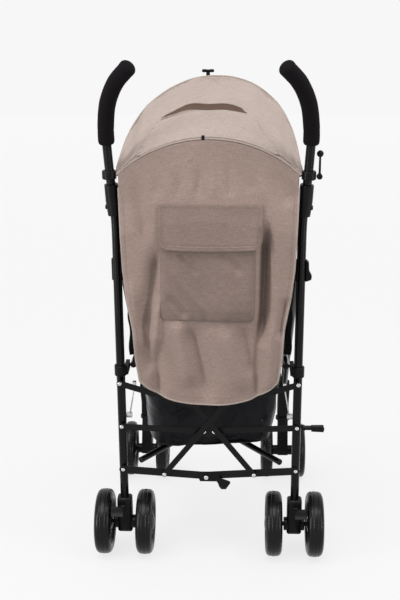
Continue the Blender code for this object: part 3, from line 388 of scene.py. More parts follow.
def catmull(points, count):
    # Catmull and Rom's curve through the points: cubic blends of four neighbours
    p = np.asarray(points, float)
    p = np.concatenate([[2 * p[0] - p[1]], p, [2 * p[-1] - p[-2]]])
    t = np.linspace(0, 1, count, endpoint=False)[None, :, None]
    a, b, c, d = (p[k:len(p) - 3 + k][:, None] for k in range(4))
    out = 0.5 * (2 * b + (c - a) * t + (2 * a - 5 * b + 4 * c - d) * t**2
                 + (3 * b - a - 3 * c + d) * t**3)
    return np.concatenate([out.reshape(-1, 3), p[-2:-1]])


def resample(path, count):
    path = np.asarray(path, float)
    along = lengths(path)
    at = np.linspace(0, along[-1], count)
    return np.stack([np.interp(at, along, path[:, k]) for k in range(3)], -1)


def waves(x, y, seed, count, low, high, sharp=False):
    # a wrinkle field: sines of random direction and phase, weaker as they get finer;
    # sharp folds each sine by its absolute value, which gives ridges between soft hollows
    bendSize, bendRate, phases, fade, share = (
        (1.1, 0.45, 1.7, 0.7, 2.0) if sharp else (0.6, 0.37, 2, 0.55, 2.4))
    rng = np.random.default_rng(seed)
    total = np.zeros(np.broadcast(x, y).shape)
    for k in range(count):
        f = low * (high / low) ** (k / (count - 1))
        a, p = rng.uniform(0, math.pi), rng.uniform(0, 2 * math.pi)
        bend = bendSize * np.sin(bendRate * f * (x * math.sin(a) - y * math.cos(a)) + phases * p)
        along = x * math.cos(a) + y * math.sin(a)
        wave = (1 - 2 * np.abs(np.sin(0.5 * f * along + p + bend)) if sharp
                else np.sin(f * along + p + bend))
        total = total + wave / (1 + fade * k)
    return total / share


def crease(x, z, x0, z0, x1, z1, width, depth):
    # a soft valley along a straight line from one end to the other, fading at both ends
    dx, dz = x1 - x0, z1 - z0
    size = math.hypot(dx, dz)
    t = ((x - x0) * dx + (z - z0) * dz) / size**2
    off = ((x - x0) * dz - (z - z0) * dx) / size
    fade = np.clip(t / 0.25, 0, 1) * np.clip((1 - t) / 0.25, 0, 1)
    fade = fade * fade * (3 - 2 * fade)
    return depth * np.exp(-(off / width) ** 2) * fade


stitchValues = {"pitch": 0.0034, "half": 0.0011, "thick": 0.00035}


def stitches(name, paths, outward, body):
    # each stitch is a short spindle of eight faces laid along its seam
    centres, alongs = [], []
    for path in paths:
        fine = resample(path, max(int(lengths(path)[-1] / stitchValues["pitch"]), 2) * 2 + 1)
        centres.append(fine[1:-1:2])
        alongs.append(unit(fine[2::2] - fine[:-2:2]))
    centres, alongs = np.concatenate(centres), np.concatenate(alongs)
    out = np.broadcast_to(np.asarray(outward, float), centres.shape)
    side = unit(np.cross(alongs, out))
    out = unit(np.cross(side, alongs)) * stitchValues["thick"]
    side, reach = side * stitchValues["thick"], alongs * stitchValues["half"]
    corners = np.stack([centres - reach, centres + side, centres + out, centres - side,
                        centres - out, centres + reach], 1)
    faces = np.array([[0, 2, 1], [0, 3, 2], [0, 4, 3], [0, 1, 4],
                      [5, 1, 2], [5, 2, 3], [5, 3, 4], [5, 4, 1]])
    every = (faces[None] + 6 * np.arange(len(centres))[:, None, None]).reshape(-1, 3)
    obj = meshObject(name, corners.reshape(-1, 3), every, "thread", smooth=False)
    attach(obj, body)
    return obj


def softPiece(obj, body, *stands):
    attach(obj, body)
    if stands:
        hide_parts(*stands)
    return obj


def clothPiece(name, points, flat, look, thickness, body, *stands):
    obj = assemble(name, [points if flat is None else (points, flat)], look, closed=False)
    solid = obj.modifiers.new("thickness", "SOLIDIFY")
    solid.thickness, solid.offset = thickness, 0.0
    return softPiece(obj, body, *stands)


# carried-over nodes: smoother shading and finishes
def buildShadeGroup():
    tree = bpy.data.node_groups.new("softShade", "GeometryNodeTree")
    for way in ("INPUT", "OUTPUT"):
        tree.interface.new_socket("Geometry", in_out=way, socket_type="NodeSocketGeometry")
    start, end = tree.nodes.new("NodeGroupInput"), tree.nodes.new("NodeGroupOutput")
    merge = node(tree, "GeometryNodeMergeByDistance",
                 {"Geometry": start.outputs[0], "Distance": 0.00002})
    smooth = node(tree, "GeometryNodeSetShadeSmooth", {"Geometry": merge.outputs[0]}, domain="FACE")
    angle = node(tree, "GeometryNodeInputMeshEdgeAngle")
    sharp = node(tree, "FunctionNodeCompare", {0: angle.outputs[0], 1: math.radians(38)},
                 data_type="FLOAT", operation="GREATER_THAN")
    edges = node(tree, "GeometryNodeSetShadeSmooth",
                 {"Geometry": smooth.outputs[0], "Selection": sharp.outputs[0],
                  "Shade Smooth": False}, domain="EDGE")
    tree.links.new(edges.outputs[0], end.inputs[0])
    return tree


shadeGroup = buildShadeGroup()
finishes = {
    "tube": ("push_tube", "front_leg", "seat_rail", "floor_bar"),
    "strip": ("lower_link", "mid_link", "top_link", "x_bar", "centre_plate"),
    "steel": ("tie_rod",),
    "plastic": ("coupler", "canopy_clamp", "hinge_bracket", "seat_bracket", "rear_housing",
                "brake_pedal", "caster_housing", "swivel_fork", "brace_housing", "side_pedal",
                "latch_arm"),
}
for name, obj in nodes.items():
    for finish, starts in finishes.items():
        if name.startswith(starts):
            obj.data.materials.clear()
            obj.data.materials.append(looks[finish])
            obj.modifiers.new("softShade", "NODES").node_group = shadeGroup
print("carried-over nodes finished")


# hood: one continuous sheet from the rear arch to the front hoop
hoodValues = {
    "halfWidth": chair["halfTrack"] - 0.0073,
    "flare": 0.10,
    "reach": 0.330,
    "tilt": math.radians(55.0),
    "rise": 0.068,           # of the rear arch over the clamps
    "rearBack": 0.012,       # how far behind the clamps the rear arch stands
    "leftIn": 0.030,         # share by which the hoop is drawn in at the upper left
    "rightOut": 0.014,       # and let out at the upper right
    "belly": 0.012,
    "valley": 0.004,
    "thickness": 0.0026,
    "wrinkle": 0.0012,
    "pull": 0.0032,          # depth of the creases that run to the toggle
    "pucker": 0.0005,        # along both hems
    "sideDent": 0.0045,
    "swell": 0.0058,         # broad soft waves that run from front to rear
}
pivot = onLean(0, -0.003, chair["clampUp"])
flatAcross, flatAlong = 0.19, 0.31       # metres of cloth for one step of s and of t


def archHeight(x):
    h = hoodValues
    radius = (h["halfWidth"]**2 + h["rise"]**2) / (2 * h["rise"])
    return np.sqrt(np.maximum(radius**2 - x**2, 0)) - (radius - h["rise"])


def hoodPoint(s, t):
    # s goes across from right to left, 0 to pi, and t from the rear arch to the hoop:
    # a straight blend plus a belly
    h = hoodValues
    s, t = np.broadcast_arrays(np.asarray(s, float), np.asarray(t, float))
    x = h["halfWidth"] * np.cos(s) * (1 + h["flare"] * np.sin(s)**2)
    lopsided = 1 - t * (h["leftIn"] * np.exp(-((s - 2.15) / 0.50)**2)
                        - h["rightOut"] * np.exp(-((s - 0.90) / 0.45)**2))
    x = x * lopsided
    reach = h["reach"] * np.sin(s) * lopsided
    belly = (np.sin(math.pi * t) * h["belly"] * np.sin(s)
             - np.exp(-((t - 0.45) / 0.10)**2) * h["valley"] * np.sin(s))
    y = -h["rearBack"] * (1 - t) + reach * math.sin(h["tilt"]) * t - 0.35 * belly
    z = archHeight(x) * (1 - t) + reach * math.cos(h["tilt"]) * t + belly
    return np.stack([x, y, z], -1) + pivot


def hoodRelief(s, t):
    # creases fan out under the toggle, puckers sit along both hems, and soft dents cover the rest
    h = hoodValues
    s, t = np.broadcast_arrays(np.asarray(s, float), np.asarray(t, float))
    away = np.hypot((s - math.pi / 2) * 1.1, (1 - t) * 1.9)
    angle = np.arctan2((s - math.pi / 2) * 1.1, (1 - t) * 1.9)
    fan = np.sin(angle * 9 + 0.7) * 0.6 + np.sin(angle * 17 + 2.0) * 0.4
    pull = -h["pull"] * np.abs(fan) * np.exp(-(away / 0.55)**2) * np.clip(away / 0.10, 0, 1)
    pucker = 0
    for fromHem, fast, sway, slow in ((1 - t, 71, 3, 9), (t, 57, 2, 13)):
        pucker = pucker + (h["pucker"] * np.sin(s * fast + sway * np.sin(s * slow))
                           * np.exp(-((fromHem - 0.07) / 0.035)**2))
    dents = h["wrinkle"] * waves(s * 0.18, t * 0.30, 5, 9, 18, 110)
    fromSide = np.exp(-(np.minimum(s, math.pi - s) / 0.42)**2)
    sideDents = h["sideDent"] * np.sin(t * 15 + s * 3) * fromSide * np.sin(math.pi * t)
    swell = h["swell"] * (np.sin(s * 11.0 + 0.9 * t) * 0.5
                          + np.sin(s * 19.0 - 1.3 + 1.5 * t) * 0.3) * np.sin(s)**0.5
    calm = np.clip(1.4 - np.exp(-((s - math.pi / 2) / 0.5)**2) * (1 - t), 0, 1)
    dents = dents + swell * (0.4 + 0.6 * t) * calm
    inside = np.clip(t / 0.08, 0, 1) * np.clip((1 - t) / 0.05, 0, 1)
    return pull * np.clip((1 - t) / 0.03, 0, 1) + pucker + (dents + sideDents) * inside


def onHood(s, t, out):
    # the point a distance outside the hood, along its normal, found from small steps each way
    e = 0.002
    across = hoodPoint(s + e, t) - hoodPoint(s - e, t)
    along = hoodPoint(s, np.clip(t + e, 0, 1)) - hoodPoint(s, np.clip(t - e, 0, 1))
    return hoodPoint(s, t) + unit(np.cross(along, across)) * (out + hoodRelief(s, t))[..., None]


def hoodCloth(name, s, t, out, look, thickness, *stands):
    surface = onHood(s, t, out)
    flat = np.stack([s * flatAcross, t * flatAlong], -1)
    return surface, clothPiece(name, surface, flat, look, thickness, "hood", *stands)


s, t = np.meshgrid(np.linspace(0.045, math.pi - 0.045, 260), np.linspace(0, 1, 150))
canopySurface, canopy = hoodCloth("canopy_cloth", s, t, 0.0, "hood", hoodValues["thickness"],
                                  "canopy")

# window band, a dark strip of painted shade in the gap above the loose flap, then the flap, the
# hems and their piping; edges as t over s
windowValues = {
    "from": 1.19, "to": 2.11,
    "top": ([1.19, 1.24, 1.334, 1.567, 1.753, 1.94, 2.06, 2.11],
            [0.392, 0.450, 0.468, 0.466, 0.466, 0.464, 0.448, 0.437]),
    "low": ([1.05, 1.12, 1.2, 1.334, 1.559, 1.753, 1.932, 2.10, 2.17],
            [0.372, 0.392, 0.386, 0.377, 0.372, 0.377, 0.394, 0.424, 0.434]),
    "under": 0.07,           # how far the band goes on under the flap
    "thickness": 0.0006,
}
flapValues = {
    "from": 0.012, "to": 0.376, "short": 0.044, "lift": 0.0016, "thickness": 0.0026,
    "t": [0.012, 0.045, 0.166, 0.236, 0.312, 0.382],
    "right": [0.785, 0.797, 0.867, 0.953, 1.046, 1.077],
    "left": [2.400, 2.383, 2.313, 2.250, 2.205, 2.165],
}


def windowEdge(s, which):
    return np.interp(s, *windowValues[which])


wv, fv = windowValues, flapValues
a, b = unitGrid(120, 22)
bandS = wv["from"] + (wv["to"] - wv["from"]) * a
ends = np.clip(np.minimum(a, 1 - a) / 0.05, 0, 1)**0.5
bandTop = windowEdge(bandS, "top")
bandT = bandTop + (windowEdge(bandS, "low") - wv["under"] - bandTop) * b * ends
# the band's dark linen is painted shade: it stands for the shadow in the gap under the flap's loose
# top edge
_, windowShade = hoodCloth("hood_window_shade", bandS, bandT, 0.0014, "shade", wv["thickness"])

a, b = unitGrid(150, 110)
rowT = fv["from"] + (fv["to"] - fv["from"]) * b
startS, endS = np.interp(rowT, fv["t"], fv["right"]), np.interp(rowT, fv["t"], fv["left"])
flapS = startS + (endS - startS) * a
flapT = fv["from"] + (windowEdge(flapS, "low") - fv["short"] - fv["from"]) * b
loose = b**3 * (1 - np.abs(2 * a - 1)**4)
sideLift = (np.exp(-(np.minimum(a, 1 - a) / 0.025)**2)
            * (0.0026 + 0.0016 * np.sin(b * 47 + 3 * a) * np.sin(b * 19)))
flapOut = (0.0026 + fv["lift"] * loose + sideLift + 0.0011 * np.sin(a * 23 + 2 * b) * b * (1 - b)
           + 0.0012 * waves(flapS * 0.18, flapT * 0.30, 11, 7, 20, 90) * np.clip(b * 6, 0, 1))
_, hoodFlap = hoodCloth("hood_flap", flapS, flapT, flapOut, "hood", fv["thickness"])

windowS = np.linspace(wv["from"], wv["to"], 160)
rearS = np.linspace(0.045, math.pi - 0.045, 240)
frontS = np.linspace(0.05, math.pi - 0.05, 220)
hoodStrips = []
for name, atS, atT, radius, lift in (
        ("window_piping", windowS, windowEdge(windowS, "top") + 0.002, 0.0015, 0.0022),
        ("front_hem", frontS, 0.994, 0.0021, 0.0012),
        ("rear_hem", rearS, 0.004, 0.0024, 0.0010),
        ("rear_piping", rearS, 0.052, 0.0012, 0.0018),
        ("flap_hem", windowS, windowEdge(windowS, "low") - 0.046, 0.0015, 0.0048)):
    strip = assemble(name, [tube(onHood(atS, atT, lift), radius, (0.2, 0.3, 0.9), 8)], "hood")
    hoodStrips.append(softPiece(strip, "hood"))
hemS = np.linspace(0.08, 3.06, 200)
seams = [onHood(windowS, windowEdge(windowS, "low") - 0.062, 0.0050), onHood(hemS, 0.958, 0.0016),
         onHood(hemS, 0.040, 0.0016)]
seamT = np.linspace(0.03, 0.37, 80)
for side, shift in (("right", 0.022), ("left", -0.022)):
    seams.append(onHood(np.interp(seamT, fv["t"], fv[side]) + shift, seamT, 0.0038))
hoodThread = stitches("hood_stitching", seams, (0, -0.5, 0.86), "hood")

# front hoop with the loop and toggle at its top
hoopValues = {"radius": 0.0034, "gap": 0.0033, "peak": 93}
tilt = hoodValues["tilt"]
ahead = np.array([0, math.cos(tilt), -math.sin(tilt)])
hoopPath = (hoodPoint(np.linspace(0.012, math.pi - 0.012, 181), 1.0)
            + ahead * (hoodValues["thickness"] / 2 + hoopValues["gap"]))
hoop = assemble("front_hoop", [tube(hoopPath, hoopValues["radius"], ahead, 16)], "plastic")
softPiece(hoop, "hood", "canopy_hoop")
peak = hoopPath[hoopValues["peak"]]
upright = np.eye(3)
roundedBlock("toggle_loop", (0.008, 0.003, 0.018), peak + (0, 0.002, 0.0065), upright, "webbing",
             0.0008, "hood")
halfKnob = [(0.003, 0.0027), (0.004, 0.0034), (0.010, 0.0034), (0.0122, 0.0030), (0.013, 0.0022),
            (0.013, 0.0)]
knob = [(-x, r) for x, r in reversed(halfKnob)] + halfKnob
toggle = assemble("toggle", [lathe(knob, peak + (0, 0.002, 0.0160), 32)], "plastic")
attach(toggle, "hood")
roundedBlock("seam_tab", (0.0060, 0.0016, 0.0095), onHood(1.625, 0.002, 0.0040), upright,
             "webbing", 0.0005, "hood")
print("hood made")

# rear panel: a hanging sheet with long upright folds
panelValues = {
    "insetAt": (0, 0.10, 0.30, 0.45, 0.60, 0.75, 0.90, 1.0),
    "inset": (0.0090, 0.0098, 0.0128, 0.0152, 0.0220, 0.0330, 0.0365, 0.0430),
    "depth": -0.0318,
    "low": 0.362,
    "cornerLift": 0.050,
    "fold": 1.75,            # how strongly the listed creases show
    "thickness": 0.0026,
    "flapTop": 0.778,
}
# each crease: the x and z of its two ends, how wide and how deep, ridges with a minus
creases = [
    (0.112, 0.750, 0.109, 0.480, 0.0110, 0.0200),
    (0.0985, 0.575, 0.0985, 0.340, 0.0095, 0.0050),
    (0.124, 0.560, 0.122, 0.370, 0.0110, -0.0045),
    (0.130, 0.860, 0.172, 0.780, 0.0200, 0.0070),
    (0.156, 0.600, 0.140, 0.500, 0.0080, 0.0050),
    (0.060, 0.880, 0.085, 0.800, 0.0100, 0.0030),
    (-0.094, 0.700, -0.128, 0.510, 0.0150, 0.0085),
    (-0.126, 0.560, -0.121, 0.420, 0.0120, 0.0060),
    (-0.100, 0.600, -0.110, 0.450, 0.0090, -0.0055),
    (-0.106, 0.510, -0.101, 0.360, 0.0120, 0.0065),
    (-0.150, 0.880, -0.120, 0.690, 0.0150, 0.0060),
    (-0.064, 0.560, -0.038, 0.390, 0.0160, -0.0055),
    (-0.044, 0.550, 0.004, 0.360, 0.0180, 0.0065),
    (0.024, 0.545, 0.072, 0.380, 0.0170, -0.0050),
    (0.070, 0.540, 0.086, 0.420, 0.0110, 0.0040),
    (-0.155, 0.640, -0.140, 0.460, 0.0110, -0.0040),
    (-0.045, 0.930, -0.060, 0.780, 0.0100, 0.0026),
    (-0.014, 0.930, -0.020, 0.780, 0.0080, 0.0030),
    (0.008, 0.930, 0.010, 0.780, 0.0080, -0.0022),
    (0.036, 0.930, 0.042, 0.780, 0.0080, 0.0028),
    (-0.090, 0.910, -0.105, 0.780, 0.0110, 0.0032),
    (0.098, 0.900, 0.108, 0.780, 0.0100, -0.0028),
]


def panelHalfWidth(v):
    return chair["halfTrack"] - np.interp(v, panelValues["insetAt"], panelValues["inset"])


def panelEdges(x, across):
    # heights of the panel's upper and lower outline
    low = panelValues["low"] + panelValues["cornerLift"] * np.abs(across)**2.8
    return pivot[2] + archHeight(x) - 0.0010, low


def drape(x, z):
    # what the creases add, eased under the pocket, where the cloth lies flatter
    total = np.zeros(np.broadcast(x, z).shape)
    for line in creases:
        total = total + crease(x, z, *line) * panelValues["fold"]
    fine = (0.0013 * waves(x * 1.6, z * 0.7, 21, 8, 16, 80)
            + 0.0004 * waves(x, z * 0.5, 4, 6, 30, 90, sharp=True))
    under = (np.clip((0.100 - np.abs(x)) / 0.02, 0, 1) * np.clip((z - 0.53) / 0.02, 0, 1)
             * np.clip((0.80 - z) / 0.02, 0, 1))
    return (total + fine) * (1 - 0.85 * under)


def panelPoint(across, v):
    # across from -1 to 1, v from the hood's rear arch to the hem: height blends the two outlines
    across, v = np.broadcast_arrays(np.asarray(across, float), np.asarray(v, float))
    x = across * panelHalfWidth(v)
    topZ, lowZ = panelEdges(x, across)
    z = topZ * (1 - v) + lowZ * v
    up = (z - chair["axleZ"]) / math.cos(chair["lean"])
    swing = np.sin(x * 41.0 + 0.8 * v) * 0.55 + np.sin(x * 73.0 - 2.1 + 1.7 * v) * 0.35
    fold = (-(1 + swing) * (0.0012 + 0.0014 * v)
            - 0.006 * np.sin(math.pi * v) * np.cos(x / 0.17 * math.pi / 2))
    y = panelValues["depth"] * (0.35 + 0.65 * np.minimum(v * 3.5, 1)) - up * math.sin(chair["lean"])
    y = y + chair["axleY"] + (fold + drape(x, z)) * np.minimum(v * 5, 1)
    sewn = 1 - np.minimum(v * 6, 1)
    behindHood = pivot[1] - hoodValues["rearBack"] - panelValues["thickness"] * 0.5 - 0.0003
    return np.stack([x, y * (1 - sewn) + behindHood * sewn, z], -1)


def onPanel(x, z, out):
    # v is found by repeated steps, since the outline and the width depend on each other
    x, z = np.broadcast_arrays(np.asarray(x, float), np.asarray(z, float))
    v = np.full(x.shape, 0.5)
    for k in range(14):
        topZ, lowZ = panelEdges(x, np.clip(x / panelHalfWidth(v), -1, 1))
        v = np.clip((topZ - z) / (topZ - lowZ), 0, 1)
    p = panelPoint(x / panelHalfWidth(v), v)
    p[..., 1] -= out
    return p


across, v = np.meshgrid(np.linspace(-1, 1, 340), np.linspace(0, 1, 300))
panelSurface = panelPoint(across, v)
flat = np.stack([across * 0.165, v * 0.55], -1)
panel = clothPiece("rear_cloth", panelSurface, flat, "panel", panelValues["thickness"], "core",
                   "rear_panel")

hemLine = np.concatenate([panelPoint(-1.0, np.linspace(0.06, 1, 150)),
                          panelPoint(np.linspace(-1, 1, 200), 1.0)[1:-1],
                          panelPoint(1.0, np.linspace(1, 0.06, 150))])
hem = assemble("panel_hem", [tube(resample(hemLine, 420), 0.0021, (0, 1, 0), 8)], "hood")
softPiece(hem, "core")
onCloth = (0, 0.0016, 0)         # how far stitches stand off the middle of the cloth
threadLines = [panelPoint(np.linspace(-0.97, 0.97, 260), 0.974) - onCloth]
threadLines += [panelPoint(at, np.linspace(0.10, 0.97, 200)) - onCloth for at in (-0.955, 0.955)]

# pocket: a bag sewn to the panel, its mouth hidden by the flap
pocketValues = {"left": -0.0940, "right": 0.0910, "top": 0.712, "low": 0.543, "corner": 0.012,
                "bulge": 0.0115, "thickness": 0.0020}
pocketCreases = [
    (-0.085, 0.665, 0.010, 0.545, 0.010, 0.0030),
    (-0.060, 0.690, -0.020, 0.640, 0.007, -0.0040),
    (-0.085, 0.600, -0.040, 0.550, 0.009, -0.0045),
    (0.020, 0.695, 0.070, 0.640, 0.009, -0.0035),
]


def roundedLow(x, left, right, low, radius):
    # the lower outline with quarter circles at its corners
    near = np.clip(radius - np.minimum(x - left, right - x), 0, radius)
    return low + radius - np.sqrt(np.maximum(radius**2 - near**2, 0))


q = pocketValues
a, b = unitGrid(170, 140)
x = q["left"] + (q["right"] - q["left"]) * a
lowZ = roundedLow(x, q["left"], q["right"], q["low"] + 0.004 * (1 - a), q["corner"])
z = q["top"] + (lowZ - q["top"]) * b
puff = (np.clip(1 - np.abs(2 * a - 1)**(5 + 9 * a), 0, 1)**0.6
        * np.clip(1 - np.abs(b)**12, 0, 1)**0.6)
rise = 0.40 + 0.65 * np.sin(math.pi * np.clip(b * 0.72 + 0.06, 0, 1))
out = 0.0028 + q["bulge"] * puff * (0.55 + 0.65 * a) * rise
out = out + puff * np.clip((b - 0.05) / 0.2, 0, 1) * (
    0.0034 * waves(x, z, 31, 8, 22, 90) + 0.0010 * waves(x, z, 32, 6, 30, 110, sharp=True))
out = out + 0.0012 * np.sin(x * 170 + 4 * np.sin(x * 31)) * np.exp(-((1 - b) / 0.07)**2)
for line in pocketCreases:
    out = out + crease(x, z, *line) * puff
bagSurface = onPanel(x, z, out)
bag = clothPiece("pocket_bag", bagSurface, np.stack([x, z], -1), "pocket", q["thickness"], "core",
                 "pocket")

# the pocket's flap rises smoothly from its seam to clear the mouth
coverValues = {"left": -0.0975, "right": 0.1050, "drop": 0.0885, "corner": 0.020, "sewn": 0.0027,
               "stand": 0.0105, "standRight": 0.0035, "run": 0.085, "thickness": 0.0024}
q = coverValues
a, b = unitGrid(190, 90)
topZ = panelValues["flapTop"]
x = q["left"] + (q["right"] - q["left"]) * a
lowZ = roundedLow(x, q["left"], q["right"], topZ - q["drop"] + 0.004 * np.abs(2 * a - 1)**2,
                  q["corner"])
z = topZ + (lowZ - topZ) * b
stand = np.clip((topZ - z) / q["run"], 0, 1)**1.3 * (q["stand"] + q["standRight"] * a)
out = (q["sewn"] + stand
       + b * (0.0018 * waves(x, z, 41, 7, 20, 80) + 0.0016 * np.sin(a * 7.5 + 0.5) * b)
       + 0.0007 * np.clip((b - 0.90) / 0.02, 0, 1))
coverSurface = onPanel(x, z, out)
flap = clothPiece("pocket_flap", coverSurface, np.stack([x, z], -1), "pocket", q["thickness"],
                  "core")
threadLines += [coverSurface[row, 6:-6] - onCloth for row in (4, 77, 82)]
threadLines += [coverSurface[4:-9, column] - onCloth for column in (5, 9, -6, -10)]
threadLines.append(bagSurface[122, 8:-8] - (0, 0.0015, 0))
panelThread = stitches("panel_stitching", threadLines, (0, -1, 0), "core")
print("rear panel and pocket made")


# padded seat and backrest, blown up by a short cloth run
padValues = {"voxel": 0.0055, "pressure": 4.0, "frames": 20, "cap": 0.008, "fullness": 0.6,
             "stiffness": 18.0, "shrink": -0.03, "cols": 41, "rows": 49}


def padShell(centre, upDir, halfU, halfV, thickness, channels):
    # two crowned faces that meet at a drawn-in edge, with sewn channels across
    cols, rows = padValues["cols"], padValues["rows"]
    uu, vv = np.meshgrid(np.linspace(-1, 1, cols), np.linspace(-1, 1, rows))
    crown = 0.10 + 0.90 * np.sqrt(np.clip((1 - np.abs(uu)**6) * (1 - np.abs(vv)**6), 0, 1))
    groove = np.ones_like(vv)
    for g in channels:
        groove = groove - 0.45 * np.exp(-((vv - g) / 0.05)**2)
    corner = 1 - 0.05 * (np.abs(uu) * np.abs(vv))**6
    normal = np.cross(acrossDir, upDir)
    base = (centre + (uu * halfU * corner)[..., None] * acrossDir
            + (vv * halfV * corner)[..., None] * upDir)
    front = base + (thickness / 2 * crown * groove)[..., None] * normal
    back = base - (thickness / 2 * crown)[..., None] * normal
    edges = [np.stack([front[take], back[take]])
             for take in (np.s_[0, :], np.s_[-1, :], np.s_[:, 0], np.s_[:, -1])]
    return [front, back] + edges


def applyModifiers(obj):
    depsgraph = bpy.context.evaluated_depsgraph_get()
    mesh = bpy.data.meshes.new_from_object(obj.evaluated_get(depsgraph))
    obj.modifiers.clear()
    old, obj.data = obj.data, mesh
    bpy.data.meshes.remove(old)


def coordinates(mesh):
    flatList = np.empty(len(mesh.vertices) * 3, np.float32)
    mesh.vertices.foreach_get("co", flatList)
    return flatList.reshape(-1, 3).astype(float)


def blowUp(obj, middle, upDir, halfU, halfV, channels):
    # cloth under pressure, held at its channels and edge; no point moves further than the cap
    start = coordinates(obj.data)
    off = start - middle
    v, u = off @ upDir / halfV, off @ acrossDir / halfU
    pin = np.zeros(len(start))
    for g in channels:
        pin = np.maximum(pin, np.clip(1.4 - np.abs(v - g) * halfV / 0.004, 0, 1))
    fromMiddle = np.maximum(np.abs(u), np.abs(v))
    pin = np.maximum(pin, np.clip((fromMiddle - 0.975) / 0.02, 0, 1))
    group = obj.vertex_groups.new(name="sewn")
    for index in np.nonzero(pin > 0.05)[0]:
        group.add([int(index)], float(pin[index]), "REPLACE")
    cloth = obj.modifiers.new("blown", "CLOTH")
    settings = cloth.settings
    settings.use_pressure, settings.uniform_pressure_force = True, padValues["pressure"]
    settings.effector_weights.gravity = 0.0
    settings.vertex_group_mass = "sewn"
    settings.mass, settings.quality = 0.25, 6
    settings.tension_stiffness = settings.compression_stiffness = padValues["stiffness"]
    settings.bending_stiffness = 0.6
    settings.shrink_min = padValues["shrink"]
    cloth.collision_settings.use_collision = False
    cloth.point_cache.frame_start, cloth.point_cache.frame_end = 1, padValues["frames"]
    for frameNumber in range(1, padValues["frames"] + 1):
        bpy.context.scene.frame_set(frameNumber)
    applyModifiers(obj)
    bpy.context.scene.frame_set(1)
    moved = coordinates(obj.data) - start
    size = np.linalg.norm(moved, axis=1, keepdims=True)
    most = padValues["cap"] * padValues["fullness"]
    moved = moved * np.minimum(1, most / np.maximum(size, 1e-9))
    obj.data.vertices.foreach_set("co", (start + moved).astype(np.float32).ravel())
    smooth = obj.modifiers.new("even", "SMOOTH")
    smooth.factor, smooth.iterations = 0.5, 2
    applyModifiers(obj)
    obj.vertex_groups.clear()


def cushion(name, middle, upDir, halfU, halfV, thickness, channels, body, stands):
    shell = padShell(middle, upDir, halfU, halfV, thickness, channels)
    obj = assemble(name, shell, "lining", merge=1e-5)
    remesh = obj.modifiers.new("even", "REMESH")
    remesh.mode, remesh.voxel_size, remesh.use_smooth_shade = "VOXEL", padValues["voxel"], True
    applyModifiers(obj)
    blowUp(obj, middle, upDir, halfU, halfV, channels)
    fine = obj.modifiers.new("fine", "SUBSURF")
    fine.levels = fine.render_levels = 1
    applyModifiers(obj)
    obj.data.polygons.foreach_set("use_smooth", np.ones(len(obj.data.polygons), bool))
    obj.data.materials.clear()
    obj.data.materials.append(looks["lining"])
    obj.data.update()
    softPiece(obj, body, stands)
    return obj


rearRail = onLean(0, 0.028, 0.3590)      # pivot of the seat rails
seatFoot = rearRail + (0, 0.0672, 0.0046)
seatTop = np.array([0, pivot[1] + 0.0449, pivot[2] + 0.0031])
seatUp = unit(seatTop - seatFoot)
seatOut = np.array([0, seatUp[2], -seatUp[1]])


def seatLine(k, out):
    # along the backrest from its foot to its top, a distance in front of it
    k = np.asarray(k, float)[..., None]
    return seatFoot + (seatTop - seatFoot) * k + seatOut * np.asarray(out, float)[..., None]


backPad = cushion("back_cushion", (seatFoot + seatTop) / 2, seatUp, 0.148,
                  float(np.linalg.norm(seatTop - seatFoot)) / 2, 0.018, (-0.5, 0.0, 0.5), "core",
                  "backrest")
frontRail = np.array([0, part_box("seat_rail_r")[1][1] - 0.004, 0.440])
seatAhead = unit(frontRail - rearRail)
seatMiddle = rearRail + seatAhead * (0.052 + 0.1075) - (0, 0, 0.004)
seatPad = cushion("seat_cushion", seatMiddle, seatAhead, 0.1505, 0.0935, 0.021, (0.0,), "seat",
                  "seat_pad")
print("padded pieces made")

# dark side cloth between the backrest and the tubes
wings = []
a, b = unitGrid(16, 110)
for sign, side, tag in reversed(sides):
    out = (-0.004 - 0.010 * a + 0.0035 * np.sin(b * 19 + 2 * sign) * a
           + 0.0015 * waves(a * 0.03, b * 0.4, 61, 5, 20, 80))
    surface = seatLine(0.02 + 0.74 * b, out)
    surface[..., 0] = sign * (0.144 + (0.0285 - 0.006 * b**3) * a + 0.0015 * np.sin(b * 27) * a)
    wings.append(clothPiece("side_wing_" + tag, surface, None, "lining", 0.0018, "core"))


# harness: two shoulder straps, a crotch strap and the buckle
def strap(name, middleLine, halfWidth, thickness, across, look, body):
    # a flat band: powers of sine and cosine stretch its section, so the edges stay rounded
    line = resample(middleLine, 60)
    tangent = unit(np.gradient(line, axis=0))
    along = (tangent @ np.asarray(across, float))[:, None]
    side = unit(np.broadcast_to(across, line.shape) - tangent * along)
    up = np.cross(side, tangent)
    angle = np.linspace(0, 2 * math.pi, 25)
    c, s = np.cos(angle), np.sin(angle)
    u = np.sign(c) * np.abs(c)**0.25 * halfWidth
    w = np.sign(s) * np.abs(s)**0.6 * thickness / 2
    u[-1], w[-1] = u[0], w[0]
    ribs = line[:, None] + u[None, :, None] * side[:, None] + w[None, :, None] * up[:, None]
    ends = [np.broadcast_to(line[at, None], ribs[:1].shape) for at in (np.s_[:1], np.s_[-1:])]
    made = assemble(name, [np.concatenate([ends[0], ribs, ends[1]])], look)
    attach(made, body)
    return made


